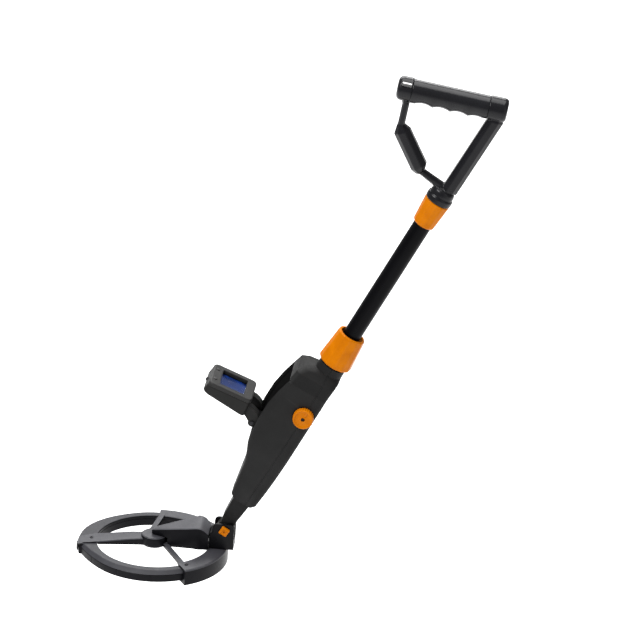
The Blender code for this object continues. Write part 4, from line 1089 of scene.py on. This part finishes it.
def make_yoke():
    outline = [(70.5, 21.15), (101.7, 21.15)] + arc((98.4, 52.2), 3.3, 0, 90, 8)
    outline += arc((80.2, 50.2), 5.5, 90, 180, 10) + [(74.6, 44.0), (70.5, 41.5)]
    yoke = shape_object("pivot_yoke", prism_y(outline, 12.0))
    bolt_hole = shifted(disc(BOLT_HOLE_R, -20.0, 20.0), moved(PIVOT[0], 0.0, PIVOT[1]) @ ROUND_Y)
    combine(yoke, [block((73.6, 110.0), (-8.6, 8.6), (33.5, 70.0)), bolt_hole], "DIFFERENCE")
    rounded(yoke, 0.9, 30.0, 3)
    finished(yoke, FLOOR, YOKE_BLACK, "coil", ["yoke"], 35.0)


def make_clamp():
    """Square clamp knob with a dished face and a cross recess, and the nut at the bolt's far end."""
    levels = ((4.6, 12.5), (5.2, 12.7), (5.4, 13.2), (5.4, 15.0), (5.1, 15.7), (4.5, 16.4), (3.7, 16.85),
              (3.3, 16.9), (2.9, 16.7), (2.6, 16.2), (0.02, 16.1))
    knob = shape_object("clamp_knob", loft([
        [(x, y, z) for x, y in rounded_rectangle(-half, half, half, min(1.3, half * 0.6), 6)]
        for half, z in levels]))
    cross = [block((-1.6, 1.6), (-0.35, 0.35), (15.2, 18.0)), block((-0.35, 0.35), (-1.6, 1.6), (15.2, 18.0))]
    combine(knob, cross, "DIFFERENCE")
    place = PIVOT_AT @ ROUND_Y @ turn_z(-30.0)
    finished(knob, place, ORANGE, "clamp", ["pivot_knob"], 32.0)
    corners = [60.0 * k + 30.0 for k in range(6)]
    profile = ((4.9, 12.3), (5.35, 12.7), (5.35, 15.0), (4.8, 15.4), (2.7, 15.4), (2.7, 12.3))
    rings = [[(*polar(radius, a), z) for a in corners] for radius, z in profile]
    nut = shape_object("clamp_nut", loft(rings, closed=True))
    finished(nut, PIVOT_AT @ ROUND_FAR_Y, BLACK_STEEL, "coil", ["pivot_nut"], 25.0)


make_handle()
make_sleeve()
for collar_sizes in COLLARS:
    make_collar(*collar_sizes)
make_tube()
make_casing()
make_door()
make_tray()
make_arm()
make_knob()
make_screws()
make_tub()
make_bezel()
make_keys()
make_ring()
make_top_frame()
make_spine()
make_yoke()
make_clamp()


# ---------- studio

COIL_SWING = 0.14  # the floor lies below the lowest point that the tilting coil reaches
FLOOR_REACH = 14.0
FLOOR_GLOW = 0.36
SKY_STRENGTH = 0.34
# name, place from the middle of the CAD box, width and height, watts
LIGHTS = (
    ("key", (-1.2, -1.3, 2.4), (1.3, 1.3), 84.0),
    ("fill", (1.9, -1.5, 0.9), (1.2, 1.8), 5.0),
    ("top", (0.2, 0.5, 2.6), (2.0, 2.0), 75.0),
    ("rim", (-0.5, 2.5, 1.7), (2.2, 1.2), 60.0),
)


def make_floor():
    n = Nodes("studio_floor")
    paper = n.noise(14.0, 4.0, 0.6)
    white = n.mix(paper, (0.88, 0.88, 0.88), (0.90, 0.90, 0.90))
    n.link(white, n.shader.inputs["Emission Color"])
    n.set("Emission Strength", FLOOR_GLOW)
    pale = n.finish(white, n.ramp(paper, 0.8, 0.9))
    bm = bmesh.new()
    height = cad_box[0].z - COIL_SWING
    for x, y in ((-1, -1), (1, -1), (1, 1), (-1, 1)):
        bm.verts.new((x * FLOOR_REACH, y * FLOOR_REACH, height))
    bm.faces.new(bm.verts)
    mesh = bpy.data.meshes.new("studio_floor")
    bm.to_mesh(mesh)
    bm.free()
    mesh.materials.append(pale)
    floor = linked("studio_floor", mesh)


def make_light(name, location, target, size, power):
    data = bpy.data.lights.new(name, "AREA")
    data.shape = "RECTANGLE"
    data.size, data.size_y = size
    data.energy = power
    lamp = linked(name, data)
    lamp.location = location
    lamp.rotation_euler = (target - location).to_track_quat("-Z", "Y").to_euler()


def make_studio():
    make_floor()
    middle = (cad_box[0] + cad_box[1]) / 2
    for name, offset, size, power in LIGHTS:
        make_light(name, middle + Vector(offset), middle, size, power)
    world = bpy.data.worlds.new("studio_world")
    world.use_nodes = True
    sky = world.node_tree.nodes["Background"]
    sky.inputs["Color"].default_value = (1.0, 1.0, 1.0, 1.0)
    sky.inputs["Strength"].default_value = SKY_STRENGTH
    bpy.context.scene.world = world
    bpy.context.scene.view_settings.view_transform = "Standard"


CAMERA_ELEVATION = 23.5
CAMERA_AZIMUTH = 5.0
CAMERA_ROLL = 3.1
CAMERA_DISTANCE = 6.0
CAMERA_LENS = 283.5
CAMERA_TARGET = (-0.1574, 0.0, -0.2924)


def make_camera():
    data = bpy.data.cameras.new("camera")
    data.lens = CAMERA_LENS
    data.sensor_width = 36.0
    data.clip_end = 40.0
    camera = linked("camera", data)
    elevation = math.radians(CAMERA_ELEVATION)
    azimuth = math.radians(CAMERA_AZIMUTH)
    back = Vector((math.sin(azimuth) * math.cos(elevation),
                   -math.cos(azimuth) * math.cos(elevation), math.sin(elevation)))
    level = Vector((math.cos(azimuth), math.sin(azimuth), 0.0))
    up = back.cross(level)
    roll = math.radians(CAMERA_ROLL)
    right = level * math.cos(roll) + up * math.sin(roll)
    top = up * math.cos(roll) - level * math.sin(roll)
    turn = Matrix((right, top, back)).transposed().to_4x4()
    camera.matrix_world = Matrix.Translation(Vector(CAMERA_TARGET) + back * CAMERA_DISTANCE) @ turn
    bpy.context.scene.camera = camera


make_studio()
make_camera()
